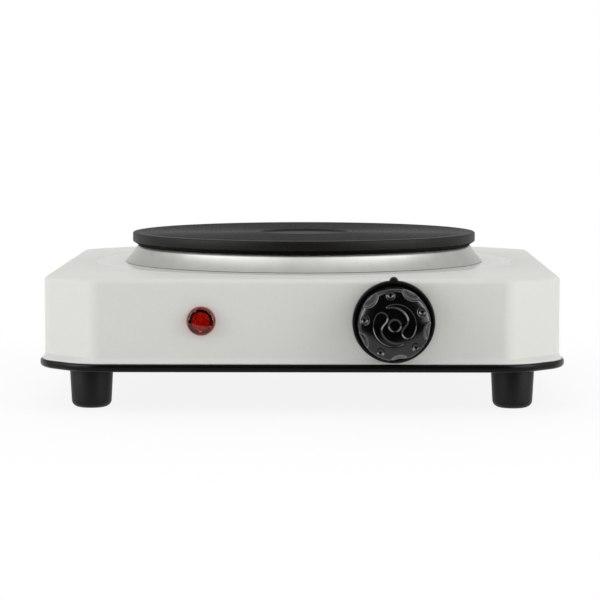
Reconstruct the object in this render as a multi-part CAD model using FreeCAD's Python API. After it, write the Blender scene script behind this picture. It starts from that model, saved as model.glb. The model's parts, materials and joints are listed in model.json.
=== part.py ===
import FreeCAD, Part
import math
import os

# A single hot plate burner: a cast-iron plate on a square steel housing, with a thermostat knob and a lamp.
# Millimetres, +Z up, the front towards -Y. Every piece is built about the plate's axis, and the whole is
# then moved along Y so that the origin is on the table at the middle of the overall box.

# Fits
FIT = 0.05
LOOSE = 0.3

# Housing, pressed from one sheet
HOUSING_WIDTH = 217.0
HOUSING_DEPTH = 217.0
HOUSING_HEIGHT = 35.0
CORNER_CUT = 22.0
CORNER_RADIUS = 8.0
SHEET = 0.7
TOP_BEND = 2.2
TOP_BAND = 5.0
TOP_SLOPE = 3.0
TOP_RISE = 0.6
LIP_CUT = 18.0
LIP_RADIUS = 18.0
LIP_FLARE = 1.1
LIP_EDGE = 0.5
FLARE_HEIGHT = 1.6

# Base pan, with a rolled bead that the housing's lip stands on
PAN_SHEET = 0.8
BEAD_HEIGHT = 3.4
BEAD_OUT = 2.1
BEAD_IN = 0.5
BEAD_ROUND_LOW = 1.6
BEAD_ROUND_TOP = 0.9
VENT_COUNT = 4
VENT_LENGTH = 60.0
VENT_WIDTH = 4.0
VENT_PITCH = 12.0
VENT_FIRST = 24.0

# Feet, their screws, and the brackets welded in the housing's corners
FOOT_HEIGHT = 16.8
FOOT_TOP_DIAMETER = 18.2
FOOT_LOW_DIAMETER = 16.8
FOOT_ROUND = 2.4
FOOT_INSET = 20.0
FOOT_WEB = 7.0
SOCKET_DIAMETER = 9.0
SCREW_DIAMETER = 4.0
SCREW_HEAD_DIAMETER = 7.4
SCREW_HEAD_HEIGHT = 2.6
SCREW_END = 4.0
BRACKET_SHEET = 1.2
BRACKET_WIDTH = 16.0
BRACKET_HEIGHT = 20.0
BRACKET_END = 8.0

# Hot plate, cast iron with turned grooves
PLATE_DIAMETER = 155.0
PLATE_RISE = 5.9
RIM_HEIGHT = 4.5
RIM_EDGE = 0.6
RIM_UNDERCUT = 2.1
SHOULDER = 1.9
SKIRT_DEPTH = 10.3
SKIRT_WALL = 6.5
CHANNEL_DEPTH = 8.2
BOSS_DIAMETER = 40.0
DISH_DIAMETER = 42.0
DISH_DEPTH = 1.0
DISH_SLOPE = 1.2
GROOVE_PITCH = 2.15
GROOVE_WIDTH = 1.3
GROOVE_DEPTH = 0.45
GROOVE_MARGIN = 3.2

# Trim ring, spun from sheet
RING_HEIGHT = 7.3
RING_SHEET = 0.6
RING_FLARE = 3.35
RING_SAG = 0.45
OPENING_GAP = 1.0

# Heater under the plate
COIL_DIAMETER = 4.6
COIL_INNER_MARGIN = 10.0
COIL_OUTER_MARGIN = 11.0
TERMINAL_ANGLE = -68.0
COVER_SHEET = 0.8
COVER_MARGIN = 0.5
BUSHING_DIAMETER = 10.0
BUSHING_HEIGHT = 4.0
BUSHING_NECK = 7.0
BUSHING_SINK = 1.2
PIN_DIAMETER = 3.0
PIN_DROP = 6.5
TAB_LENGTH = 14.0
TAB_WIDTH = 5.0
TAB_SHEET = 1.0

# Stud and bridge that pull the plate down on the housing
STUD_DIAMETER = 6.0
STUD_SINK = 9.0
STUD_END = 2.0
NUT_ACROSS = 10.0
NUT_HEIGHT = 5.0
WASHER_DIAMETER = 18.0
WASHER_SHEET = 1.0
BRIDGE_SHEET = 1.5
BRIDGE_WIDTH = 22.0
BRIDGE_FOOT = 10.0
BRIDGE_LEG_GAP = 4.5
BRIDGE_DROP = 1.0
BRIDGE_BEND = 1.0

# Front panel: heights above the housing's lower edge, offsets from the middle
CONTROL_HEIGHT = 17.8
KNOB_X = 38.0
LAMP_X = -41.3

# Dial ring and knob
DIAL_DIAMETER = 34.1
DIAL_WALL = 1.3
DIAL_RIM = 4.0
DIAL_FLOOR = 1.6
DIAL_BEVEL = 1.3
DIAL_BEVEL_IN = 2.2
NUB_REACH = 1.5
NUB_WIDTH = 2.1
NUB_FOOT = 3.4
KNOB_GAP = 0.5
KNOB_TAPER = 0.6
KNOB_HEIGHT = 20.0
KNOB_DOME = 2.6
KNOB_ROUND = 1.6
KNOB_WALL = 1.8
KNOB_BACK_GAP = 0.8
HUB_DIAMETER = 10.4
MARK_COUNT = 5
MARK_TURN = 8.2
MARK_INSET = 2.2
MARK_DIAMETER = 3.5
MARK_DEPTH = 1.0
FLUTE_RADIUS = 6.0
FLUTE_DEPTH = 1.9
FLUTE_RISE = 11.0
EYE_DIAMETER = 6.1
EYE_FLOOR = 4.4
EYE_DEPTH = 0.8
COMMA_DEPTH = 0.7
COMMA_GAP = 1.7

# Thermostat
TSTAT_SHEET = 1.2
TSTAT_HALF_HEIGHT = 9.0
TSTAT_LEFT = 16.0
SCREW_MARGIN = 1.7
SMALL_SCREW = 3.0
SMALL_HEAD = 5.6
SPINDLE_DIAMETER = 6.0
SPINDLE_FLAT = 1.5
SPINDLE_OUT = 14.5
SPINDLE_TAIL = 2.0
TIP_DIAMETER = 3.0
TIP_LENGTH = 2.0
BUSH_WALL = 2.0
BUSH_COLLAR = 1.5
COLLAR_HEIGHT = 2.0
BUSH_TAIL = 1.6
BEAD_DIAMETER = 5.6
BEAD_LENGTH = 5.0
TRAVEL = 0.83
TRAVEL_GAP = 0.15
STACK_OFFSET = 23.0
STACK_DIAMETER = 11.0
RIVET_DIAMETER = 4.0
RIVET_HEAD = 1.2
SPACER = 3.0
BLADE_SHEET = 0.5
FIXED_SHEET = 0.8
BIMETAL_SHEET = 1.0
BLADE_WIDTH = 8.0
BLADE_LEFT = 8.0
CONTACT_X = -5.0
CONTACT_DIAMETER = 4.0
CONTACT_GAP = 0.6
TRANSFER_X = 10.0
TRANSFER_DIAMETER = 2.0
BLADE_TAIL = 15.0
FIXED_TAIL = 11.0

# Indicator lamp
LENS_DIAMETER = 12.0
LENS_OUT = 4.0
LENS_DOME = 0.9
LENS_ROUND = 0.55
LENS_STEP = 0.95
LENS_FLANGE = 1.0
LENS_WALL = 1.4
LENS_FRONT = 2.4
BARREL_DIAMETER = 9.8
BARREL_LENGTH = 14.0
BULB_DIAMETER = 5.0
PLUG_LENGTH = 3.0
PUSH_NUT_DIAMETER = 15.0
PUSH_NUT_SHEET = 0.5

# Cord grommet in the rear wall, terminal block and earth lug on the pan
GROMMET_X = -52.0
GROMMET_HEIGHT = 14.0
CORD_BORE = 7.2
GROMMET_NECK = 12.0
GROMMET_FLANGE = 16.0
GROMMET_OUT = 6.0
GROMMET_RIM = 2.0
GROMMET_IN = 2.5
BLOCK_SETBACK = 22.0
BLOCK_WIDTH = 34.0
BLOCK_DEPTH = 16.0
BLOCK_HEIGHT = 13.0
POLE_PITCH = 10.5
SLEEVE_DIAMETER = 5.1
SLEEVE_BORE = 3.4
CLAMP_SCREW = 2.8
LUG_X = -70.0
LUG_SETBACK = 80.0
LUG_WIDTH = 8.0
LUG_LENGTH = 14.0
LUG_SHEET = 0.8
CRIMP_DIAMETER = 3.0
CRIMP_LENGTH = 8.0

# Internal leads
LEAD_DIAMETER = 2.5
LAMP_LEAD_DIAMETER = 1.6
LEAD_GRIP = 5.0

# Heights and radii that follow from the sizes above
half_x = HOUSING_WIDTH / 2
half_y = HOUSING_DEPTH / 2
pan_z = FOOT_HEIGHT + PAN_SHEET
lip_z = FOOT_HEIGHT + BEAD_HEIGHT
top_z = lip_z + HOUSING_HEIGHT
deck_z = top_z + TOP_RISE
control_z = lip_z + CONTROL_HEIGHT
shoulder_z = deck_z + RING_HEIGHT
plate_z = shoulder_z + PLATE_RISE
under_z = shoulder_z - SKIRT_DEPTH
roof_z = under_z + CHANNEL_DEPTH
coil_z = (under_z + roof_z) / 2
cover_z = under_z - COVER_SHEET
tab_z = cover_z - BUSHING_HEIGHT - PIN_DROP
bridge_z = cover_z - NUT_HEIGHT - BRIDGE_DROP
washer_z = bridge_z - BRIDGE_SHEET - WASHER_SHEET
stud_low = washer_z - NUT_HEIGHT - STUD_END
socket_z = FOOT_HEIGHT - FOOT_WEB

plate_r = PLATE_DIAMETER / 2
shoulder_r = plate_r - RIM_UNDERCUT
skirt_r = shoulder_r - SHOULDER
channel_r = skirt_r - SKIRT_WALL
boss_r = BOSS_DIAMETER / 2
opening_r = skirt_r + OPENING_GAP
ring_foot_r = plate_r + RING_FLARE
coil_r = COIL_DIAMETER / 2
coil_start = boss_r + COIL_INNER_MARGIN
coil_end = channel_r - COIL_OUTER_MARGIN
stud_r = STUD_DIAMETER / 2
pin_r = PIN_DIAMETER / 2
foot_x = half_x - FOOT_INSET
foot_y = half_y - FOOT_INSET
foot_spots = [(sx * foot_x, sy * foot_y) for sx in (-1, 1) for sy in (-1, 1)]
ray = math.radians(TERMINAL_ANGLE)
terminal_spots = [(r * math.cos(ray), r * math.sin(ray)) for r in (coil_start, coil_end)]

# Depths on the front panel, outward from its outer face
panel_in = -SHEET
mount_in = panel_in - TSTAT_SHEET
bush_in = mount_in - COLLAR_HEIGHT - BUSH_TAIL
spindle_in = bush_in - SPINDLE_TAIL
bead_front = spindle_in - LOOSE
bead_rear = bead_front - BEAD_LENGTH
blade_front = bead_rear - TRAVEL - TRAVEL_GAP
blade_rear = blade_front - BLADE_SHEET
fixed_front = blade_rear - SPACER
fixed_rear = fixed_front - FIXED_SHEET
bimetal_front = fixed_rear - SPACER
bimetal_rear = bimetal_front - BIMETAL_SHEET
button = (SPACER - CONTACT_GAP) / 2
spindle_r = SPINDLE_DIAMETER / 2
bush_r = spindle_r + BUSH_WALL
rivet_r = RIVET_DIAMETER / 2
small_r = SMALL_SCREW / 2
dial_r = DIAL_DIAMETER / 2
dial_in = dial_r - DIAL_WALL
screw_spread = dial_in - SMALL_HEAD / 2 - SCREW_MARGIN
knob_r = dial_in - KNOB_GAP
edge_r = knob_r - KNOB_TAPER
mark_r = MARK_DIAMETER / 2
mark_ring = edge_r - MARK_INSET
comma_r = mark_ring - mark_r - COMMA_GAP
knob_back = DIAL_FLOOR + KNOB_BACK_GAP
barrel_r = BARREL_DIAMETER / 2

block_y = half_y - SHEET - BLOCK_SETBACK - BLOCK_DEPTH / 2
pole_z = pan_z + BLOCK_HEIGHT / 2
poles = [GROMMET_X + i * POLE_PITCH for i in (-1, 0, 1)]
lug_y = half_y - LUG_SETBACK
crimp_y = lug_y + LUG_LENGTH + LUG_WIDTH / 2
crimp_z = pan_z + LUG_SHEET + CRIMP_DIAMETER / 2 - LUG_SHEET / 4

# The knob reaches furthest forward and the grommet furthest back
frame_shift = (KNOB_HEIGHT - GROMMET_OUT) / 2


def vec(x, y, z):
    return FreeCAD.Vector(x, y, z)


def cylinder(radius, low, high, x=0, y=0):
    return Part.makeCylinder(radius, high - low, vec(x, y, low))


def ring(outer, inner, low, high, x=0, y=0):
    return cylinder(outer, low, high, x, y).cut(cylinder(inner, low, high, x, y))


def block(x0, x1, y0, y1, z0, z1):
    return Part.makeBox(x1 - x0, y1 - y0, z1 - z0, vec(x0, y0, z0))


def prism(wire, height):
    return Part.Face(wire).extrude(vec(0, 0, height))


def loft(wires):
    return Part.makeLoft(wires, True, True)


def edges_at(shape, z):
    flat = []
    for edge in shape.Edges:
        box = edge.BoundBox
        if abs(box.ZMin - z) < 1e-4 and abs(box.ZMax - z) < 1e-4:
            flat.append(edge)
    return flat


def edges_along_y(shape, spots):
    """Straight edges along Y that stand at any of the (x, z) spots, on either side."""
    found = []
    for edge in shape.Edges:
        box = edge.BoundBox
        for x, z in spots:
            if box.XLength + box.ZLength < 1e-4 and abs(abs(box.XMin) - x) + abs(box.ZMin - z) < 1e-4:
                found.append(edge)
    return found


def bend(before, corner, after, reach):
    """Start, middle and end of the arc that rounds a corner, touching both runs at reach from it."""
    back = (before - corner).normalize()
    ahead = (after - corner).normalize()
    half = back.getAngle(ahead) / 2
    radius = reach * math.tan(half)
    middle = corner + (back + ahead).normalize() * (radius / math.sin(half) - radius)
    return corner + back * reach, middle, corner + ahead * reach


def rounded(points, radius):
    """A closed outline with every corner rounded to one radius."""
    arcs = []
    for i, corner in enumerate(points):
        before = points[i - 1]
        after = points[(i + 1) % len(points)]
        half = (before - corner).getAngle(after - corner) / 2
        arcs.append(bend(before, corner, after, radius / math.tan(half)))
    edges = []
    for i, (start, middle, end) in enumerate(arcs):
        edges.append(Part.Arc(start, middle, end).toShape())
        edges.append(Part.LineSegment(end, arcs[(i + 1) % len(arcs)][0]).toShape())
    return Part.Wire(edges)


def outline(offset, z, cut=CORNER_CUT, radius=CORNER_RADIUS):
    """The housing's plan, a rectangle with cut and rounded corners, grown by offset, at height z."""
    x = half_x + offset
    y = half_y + offset
    cut += offset * (2 - math.sqrt(2))
    points = []
    for sx, sy in ((1, -1), (1, 1), (-1, 1), (-1, -1)):
        pair = [vec(sx * x, sy * (y - cut), z), vec(sx * (x - cut), sy * y, z)]
        points += pair if sx * sy > 0 else pair[::-1]
    return rounded(points, max(radius + offset, TOP_BEND))


def lip_outline(offset, z):
    """The plan of the lip and of the pan under it, whose corners are rounder than the walls'."""
    return outline(offset, z, LIP_CUT, LIP_RADIUS)


def turned(profile):
    """A solid of revolution about Z. A profile item is (r, z), or an arc's middle and end (r, z, r, z)."""
    edges = []
    first = vec(profile[0][0], 0, profile[0][1])
    at = first
    for item in profile[1:]:
        end = vec(item[-2], 0, item[-1])
        if len(item) == 4:
            edges.append(Part.Arc(at, vec(item[0], 0, item[1]), end).toShape())
        else:
            edges.append(Part.LineSegment(at, end).toShape())
        at = end
    edges.append(Part.LineSegment(at, first).toShape())
    return Part.Face(Part.Wire(edges)).revolve(vec(0, 0, 0), vec(0, 0, 1), 360)


def quarter(r, z, radius, sign_r, sign_z):
    """Middle of a quarter arc about the point (r, z)."""
    reach = radius * math.sqrt(0.5)
    return r + sign_r * reach, z + sign_z * reach


def at(shape, x, y, z=0):
    return shape.translated(vec(x, y, z))


def on_panel(shape, x):
    """Turn a shape built along +Z to point forward, and set it on the front panel at control height."""
    return shape.rotated(vec(0, 0, 0), vec(1, 0, 0), 90).translated(vec(x, -half_y, control_z))


def on_rear(shape, x, z):
    return shape.rotated(vec(0, 0, 0), vec(1, 0, 0), -90).translated(vec(x, half_y, z))


def group(shapes):
    return Part.makeCompound(shapes)


def save(name, shape):
    shape.translated(vec(0, frame_shift, 0)).exportStep("parts/" + name + ".step")


# Housing, base pan, feet

def top_panel(z):
    """The shallow raised panel inside the top's outer band, standing on height z."""
    wires = [outline(-TOP_BAND, z - TOP_RISE), outline(-TOP_BAND, z)]
    return loft(wires + [outline(-TOP_BAND - TOP_SLOPE, z + TOP_RISE)])


def housing_block(inset, low):
    """The housing's outside from height low, where its flare starts, or its inside at one sheet's inset."""
    top = top_z - inset
    wires = [lip_outline(LIP_FLARE - inset, low), outline(-inset, low + FLARE_HEIGHT)]
    solid = loft(wires + [outline(-inset, top)])
    return solid.makeFillet(TOP_BEND - inset, edges_at(solid, top)).fuse(top_panel(top)).removeSplitter()


def housing_shell():
    lip = prism(lip_outline(LIP_FLARE, lip_z), LIP_EDGE)
    shell = housing_block(0, lip_z + LIP_EDGE).fuse(lip).cut(housing_block(SHEET, lip_z))
    knob_hole = cylinder(bush_r + LOOSE, 2 * panel_in, SHEET)
    screw_hole = cylinder(small_r + LOOSE, 2 * panel_in, SHEET)
    cuts = [cylinder(opening_r, top_z - 2 * SHEET, deck_z + SHEET)]
    cuts.append(on_panel(knob_hole, KNOB_X))
    cuts += [on_panel(screw_hole, KNOB_X + side * screw_spread) for side in (-1, 1)]
    cuts.append(on_panel(cylinder(barrel_r + FIT, 2 * panel_in, SHEET), LAMP_X))
    cord_hole = cylinder(GROMMET_NECK / 2 + FIT, -2 * SHEET, SHEET)
    cuts.append(on_rear(cord_hole, GROMMET_X, lip_z + GROMMET_HEIGHT))
    return shell.cut(cuts)


def base_pan():
    pan = prism(lip_outline(BEAD_OUT, FOOT_HEIGHT), BEAD_HEIGHT)
    pan = pan.makeFillet(BEAD_ROUND_LOW, edges_at(pan, FOOT_HEIGHT))
    pan = pan.makeFillet(BEAD_ROUND_TOP, edges_at(pan, lip_z))
    cuts = [prism(lip_outline(-BEAD_IN, pan_z), BEAD_HEIGHT)]
    for side in (-1, 1):
        for i in range(VENT_COUNT):
            x = side * (VENT_FIRST + i * VENT_PITCH)
            w = VENT_WIDTH / 2
            half = VENT_LENGTH / 2 - w
            slot = block(x - w, x + w, -half, half, FOOT_HEIGHT, pan_z)
            ends = [cylinder(w, FOOT_HEIGHT, pan_z, x, end * half) for end in (-1, 1)]
            cuts.append(slot.fuse(ends))
    cuts += [cylinder(SCREW_DIAMETER / 2 + FIT, FOOT_HEIGHT, pan_z, x, y) for x, y in foot_spots]
    cuts += [cylinder(small_r + FIT, FOOT_HEIGHT, pan_z, x, block_y) for x in block_screw_spots()]
    cuts.append(cylinder(SCREW_DIAMETER / 2 + FIT, FOOT_HEIGHT, pan_z, LUG_X, lug_y))
    return pan.cut(cuts)


def foot():
    low_r = FOOT_LOW_DIAMETER / 2
    hole_r = SCREW_DIAMETER / 2 + FIT
    socket_r = SOCKET_DIAMETER / 2
    corner = quarter(low_r - FOOT_ROUND, FOOT_ROUND, FOOT_ROUND, 1, -1)
    profile = [(socket_r, 0), (low_r - FOOT_ROUND, 0), corner + (low_r, FOOT_ROUND)]
    profile += [(FOOT_TOP_DIAMETER / 2, FOOT_HEIGHT), (hole_r, FOOT_HEIGHT)]
    return turned(profile + [(hole_r, socket_z), (socket_r, socket_z)])


def screw(shank_r, head_r, head_height, seat, end):
    """A pan-head screw on Z, its head seated at height seat and its point at height end."""
    up = 1 if end > seat else -1
    back = seat - up * head_height
    edge = head_height / 3
    profile = [(0, back), (head_r - edge, back), (head_r, back + up * edge), (head_r, seat), (shank_r, seat)]
    return turned(profile + [(shank_r, end - up * shank_r), (shank_r / 2, end), (0, end)])


def foot_screw():
    end = pan_z + BRACKET_SHEET + SCREW_END
    return screw(SCREW_DIAMETER / 2, SCREW_HEAD_DIAMETER / 2, SCREW_HEAD_HEIGHT, socket_z, end)


def corner_bracket(x, y):
    """A bent steel angle: its leg is welded to the corner wall, its tab takes the foot screw."""
    wall = (half_x + half_y - CORNER_CUT) / math.sqrt(2) - SHEET
    hole = (foot_x + foot_y) / math.sqrt(2)
    side = (foot_y - foot_x) / math.sqrt(2)
    half = BRACKET_WIDTH / 2
    leg = block(wall - BRACKET_SHEET, wall, side - half, side + half, pan_z, pan_z + BRACKET_HEIGHT)
    tab = block(hole - BRACKET_END, wall, side - half, side + half, pan_z, pan_z + BRACKET_SHEET)
    pilot = cylinder(SCREW_DIAMETER / 2 + FIT, pan_z, pan_z + BRACKET_SHEET, hole, side)
    bracket = leg.fuse(tab).cut(pilot).removeSplitter()
    bracket = bracket.rotated(vec(0, 0, 0), vec(0, 0, 1), 45)
    if x < 0:
        bracket = bracket.mirror(vec(0, 0, 0), vec(1, 0, 0))
    if y < 0:
        bracket = bracket.mirror(vec(0, 0, 0), vec(0, 1, 0))
    return bracket


# Hot plate, heater and clamp

def hot_plate():
    dish_r = DISH_DIAMETER / 2
    profile = [(0, plate_z - DISH_DEPTH), (dish_r - DISH_SLOPE, plate_z - DISH_DEPTH), (dish_r, plate_z)]
    groove = dish_r + GROOVE_PITCH
    while groove < plate_r - GROOVE_MARGIN:
        profile.append((groove - GROOVE_WIDTH / 2, plate_z))
        profile.append((groove, plate_z - GROOVE_DEPTH))
        profile.append((groove + GROOVE_WIDTH / 2, plate_z))
        groove += GROOVE_PITCH
    corner = quarter(plate_r - RIM_EDGE, plate_z - RIM_EDGE, RIM_EDGE, 1, 1)
    profile += [(plate_r - RIM_EDGE, plate_z), corner + (plate_r, plate_z - RIM_EDGE)]
    profile += [(plate_r, plate_z - RIM_HEIGHT), (shoulder_r, shoulder_z), (skirt_r, shoulder_z)]
    profile += [(skirt_r, under_z), (channel_r, under_z), (channel_r, roof_z), (boss_r, roof_z)]
    hole_r = stud_r + FIT
    profile += [(boss_r, under_z), (hole_r, under_z), (hole_r, under_z + STUD_SINK), (0, under_z + STUD_SINK)]
    return turned(profile)


def trim_ring():
    lean = RING_SHEET * 1.2
    top_r = shoulder_r + LOOSE
    inner = skirt_r + LOOSE
    low = shoulder_z - RING_SHEET
    middle_r = (ring_foot_r + top_r) / 2 - RING_SAG
    middle_z = (deck_z + low) / 2
    profile = [(ring_foot_r, deck_z), (middle_r, middle_z, top_r, low), (top_r - RING_SHEET, shoulder_z)]
    profile += [(inner, shoulder_z), (inner, low), (top_r - lean, low)]
    return turned(profile + [(middle_r - lean, middle_z, ring_foot_r - lean, deck_z)])


def coil_tube():
    """A flat coil of two turns, as four half turns whose radius grows by one step each."""
    step = (coil_end - coil_start) / 4
    u = vec(math.cos(ray), math.sin(ray), 0)
    w = vec(-u.y, u.x, 0)
    up = vec(0, 0, coil_z)
    edges = []
    for i in range(4):
        side = 1 if i % 2 == 0 else -1
        start = u * (side * (coil_start + i * step))
        end = u * (-side * (coil_start + (i + 1) * step))
        middle = (start + end) * 0.5 + w * (side * (coil_start + (i + 0.5) * step))
        edges.append(Part.Arc(start + up, middle + up, end + up).toShape())
    section = Part.Wire(Part.makeCircle(coil_r, u * coil_start + up, w))
    return Part.Wire(edges).makePipeShell([section], True, False)


def magnesia(low, high, coil):
    """One pressed half of the filling, with the coil's groove in its face."""
    filling = ring(channel_r - FIT, boss_r + FIT, low, high)
    holes = [coil]
    if low < coil_z - 1:
        for x, y in terminal_spots:
            holes.append(cylinder(pin_r + FIT, low, high, x, y))
            holes.append(cylinder(BUSHING_NECK / 2 + FIT, low, low + BUSHING_SINK + FIT, x, y))
    return filling.cut(holes)


def heater_cover():
    cover = ring(skirt_r - COVER_MARGIN, stud_r + LOOSE, cover_z, under_z)
    return cover.cut([cylinder(BUSHING_NECK / 2 + FIT, cover_z, under_z, x, y) for x, y in terminal_spots])


def terminal_bushing(x, y):
    body = cylinder(BUSHING_DIAMETER / 2, cover_z - BUSHING_HEIGHT, cover_z, x, y)
    neck = cylinder(BUSHING_NECK / 2, cover_z, under_z + BUSHING_SINK, x, y)
    bore = cylinder(pin_r + FIT, cover_z - BUSHING_HEIGHT, under_z + BUSHING_SINK, x, y)
    return body.fuse(neck).cut(bore)


def terminal_pin(x, y):
    pin = cylinder(pin_r, tab_z, coil_z - coil_r, x, y)
    half = TAB_LENGTH / 2
    tab = block(x - half, x + half, y - TAB_WIDTH / 2, y + TAB_WIDTH / 2, tab_z, tab_z + TAB_SHEET)
    return pin.fuse(tab).removeSplitter()


def clamp_bridge():
    seat = deck_z - SHEET
    leg = opening_r + BRIDGE_LEG_GAP
    end = leg + BRIDGE_FOOT
    t = BRIDGE_SHEET
    right = [(leg, bridge_z), (leg, seat), (end, seat), (end, seat - t)]
    right += [(leg + t, seat - t), (leg + t, bridge_z - t)]
    corners = right + [(-x, z) for x, z in reversed(right)]
    points = [vec(x, -BRIDGE_WIDTH / 2, z) for x, z in corners]
    strap = Part.Face(Part.makePolygon(points + points[:1])).extrude(vec(0, BRIDGE_WIDTH, 0))
    inner = edges_along_y(strap, [(leg, bridge_z), (leg + t, seat - t)])
    strap = strap.makeFillet(BRIDGE_BEND, inner)
    outer = edges_along_y(strap, [(leg, seat), (leg + t, bridge_z - t)])
    strap = strap.makeFillet(BRIDGE_BEND + t, outer)
    return strap.cut(cylinder(stud_r + LOOSE, bridge_z - 2 * t, bridge_z + t))


def nut(low):
    reach = NUT_ACROSS / math.sqrt(3)
    corners = []
    for i in range(6):
        turn = math.radians(60 * i)
        corners.append(vec(reach * math.cos(turn), reach * math.sin(turn), low))
    body = prism(Part.makePolygon(corners + corners[:1]), NUT_HEIGHT)
    return body.cut(cylinder(stud_r + FIT, low, low + NUT_HEIGHT))


# Thermostat, built outward from the front panel

def d_section(radius, flat, low, high):
    """A round bar or bore with one flat on its upper side."""
    return cylinder(radius, low, high).common(block(-radius, radius, -radius, flat, low, high))


def thermostat_bracket():
    right = STACK_OFFSET + STACK_DIAMETER / 2 + BRACKET_SHEET
    y = TSTAT_HALF_HEIGHT
    plate = block(-TSTAT_LEFT, right, -y, y, mount_in, panel_in)
    cuts = [cylinder(bush_r + FIT, mount_in, panel_in)]
    cuts.append(cylinder(rivet_r + FIT, mount_in, panel_in, STACK_OFFSET))
    cuts += [cylinder(small_r + FIT, mount_in, panel_in, side * screw_spread) for side in (-1, 1)]
    return plate.cut(cuts)


def spindle_bush():
    bush = cylinder(bush_r, bush_in, DIAL_FLOOR - LOOSE)
    bush = bush.fuse(cylinder(bush_r + BUSH_COLLAR, mount_in - COLLAR_HEIGHT, mount_in)).removeSplitter()
    return bush.cut(cylinder(spindle_r + FIT, bush_in, DIAL_FLOOR))


def spindle():
    shaft = cylinder(spindle_r, spindle_in, knob_back)
    shaft = shaft.fuse(d_section(spindle_r, SPINDLE_FLAT, knob_back, SPINDLE_OUT))
    tip = cylinder(TIP_DIAMETER / 2, spindle_in - TIP_LENGTH, spindle_in)
    return shaft.fuse(tip).removeSplitter()


def pusher_bead():
    bead = cylinder(BEAD_DIAMETER / 2, bead_rear, bead_front)
    return bead.cut(cylinder(TIP_DIAMETER / 2 + FIT, bead_front - TIP_LENGTH, bead_front))


def blade(left, tail, low, high):
    strip = block(left, STACK_OFFSET + tail, -BLADE_WIDTH / 2, BLADE_WIDTH / 2, low, high)
    return strip.cut(cylinder(rivet_r + FIT, low, high, STACK_OFFSET))


def contact_blade():
    strip = blade(-BLADE_LEFT, BLADE_TAIL, blade_rear, blade_front)
    tip = cylinder(CONTACT_DIAMETER / 2, blade_rear - button, blade_rear, CONTACT_X)
    return strip.fuse(tip).removeSplitter()


def fixed_contact():
    strip = blade(-BLADE_LEFT, FIXED_TAIL, fixed_rear, fixed_front)
    strip = strip.fuse(cylinder(CONTACT_DIAMETER / 2, fixed_front, fixed_front + button, CONTACT_X))
    hole = cylinder(TRANSFER_DIAMETER / 2 + LOOSE, fixed_rear, fixed_front, TRANSFER_X)
    return strip.cut(hole).removeSplitter()


def stack_insulators():
    layers = [(blade_front, mount_in), (fixed_front, blade_rear), (bimetal_front, fixed_rear)]
    return [ring(STACK_DIAMETER / 2, rivet_r + FIT, low, high, STACK_OFFSET) for low, high in layers]


def stack_rivet():
    shaft = cylinder(rivet_r, bimetal_rear, panel_in - FIT, STACK_OFFSET)
    head = cylinder(2 * rivet_r, bimetal_rear - RIVET_HEAD, bimetal_rear, STACK_OFFSET)
    return shaft.fuse(head).removeSplitter()


def countersink(clearance):
    """The screw head's cone in the dial floor, or the seat for it."""
    slope = SMALL_HEAD / 2 - small_r
    low = DIAL_FLOOR - 2 * FIT - slope
    return Part.makeCone(small_r + clearance, SMALL_HEAD / 2 + clearance, slope, vec(0, 0, low))


def thermostat_screw():
    head = countersink(0)
    end = mount_in - SMALL_SCREW / 2
    return cylinder(small_r, end, head.BoundBox.ZMin).fuse(head).removeSplitter()


def dial_ring():
    edge = DIAL_WALL / 3
    profile = [(bush_r + LOOSE, 0), (dial_r - DIAL_BEVEL_IN, 0), (dial_r, DIAL_BEVEL)]
    profile += [(dial_r, DIAL_RIM - edge), (dial_r - edge, DIAL_RIM), (dial_in + edge, DIAL_RIM)]
    profile += [(dial_in, DIAL_RIM - edge), (dial_in, DIAL_FLOOR), (bush_r + LOOSE, DIAL_FLOOR)]
    dial = turned(profile)
    root = dial_r - DIAL_WALL / 2
    bulge = dial_r + NUB_REACH - NUB_WIDTH / 2
    low = DIAL_BEVEL
    left = [vec(-NUB_FOOT / 2, root, low), vec(-NUB_WIDTH / 2, bulge, low)]
    right = [vec(NUB_WIDTH / 2, bulge, low), vec(NUB_FOOT / 2, root, low)]
    edges = [Part.LineSegment(left[0], left[1]).toShape()]
    edges.append(Part.Arc(left[1], vec(0, dial_r + NUB_REACH, low), right[0]).toShape())
    edges.append(Part.LineSegment(right[0], right[1]).toShape())
    edges.append(Part.LineSegment(right[1], left[0]).toShape())
    dial = dial.fuse(prism(Part.Wire(edges), DIAL_RIM - edge - low)).removeSplitter()
    cuts = []
    for side in (-1, 1):
        cuts.append(cylinder(small_r + 2 * FIT, 0, DIAL_FLOOR, side * screw_spread))
        cuts.append(at(countersink(2 * FIT), side * screw_spread, 0))
        cuts.append(cylinder(SMALL_HEAD / 2 + 2 * FIT, DIAL_FLOOR - 2 * FIT, DIAL_FLOOR, side * screw_spread))
    return dial.cut(cuts)


def dome_z(r, drop=0):
    """Height of the knob's domed face at radius r. The eye's rim, at KNOB_HEIGHT, is its foremost line."""
    radius = (edge_r ** 2 + KNOB_DOME ** 2) / (2 * KNOB_DOME)
    eye = EYE_DIAMETER / 2
    return KNOB_HEIGHT - drop - math.sqrt(radius ** 2 - eye ** 2) + math.sqrt(radius ** 2 - r ** 2)


def dome(low, drop, r):
    """A round block of radius r with the knob's domed face, lowered by drop."""
    crown = (r / 2, dome_z(r / 2, drop), 0, dome_z(0, drop))
    return turned([(0, low), (r, low), (r, dome_z(r, drop)), crown])


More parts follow.
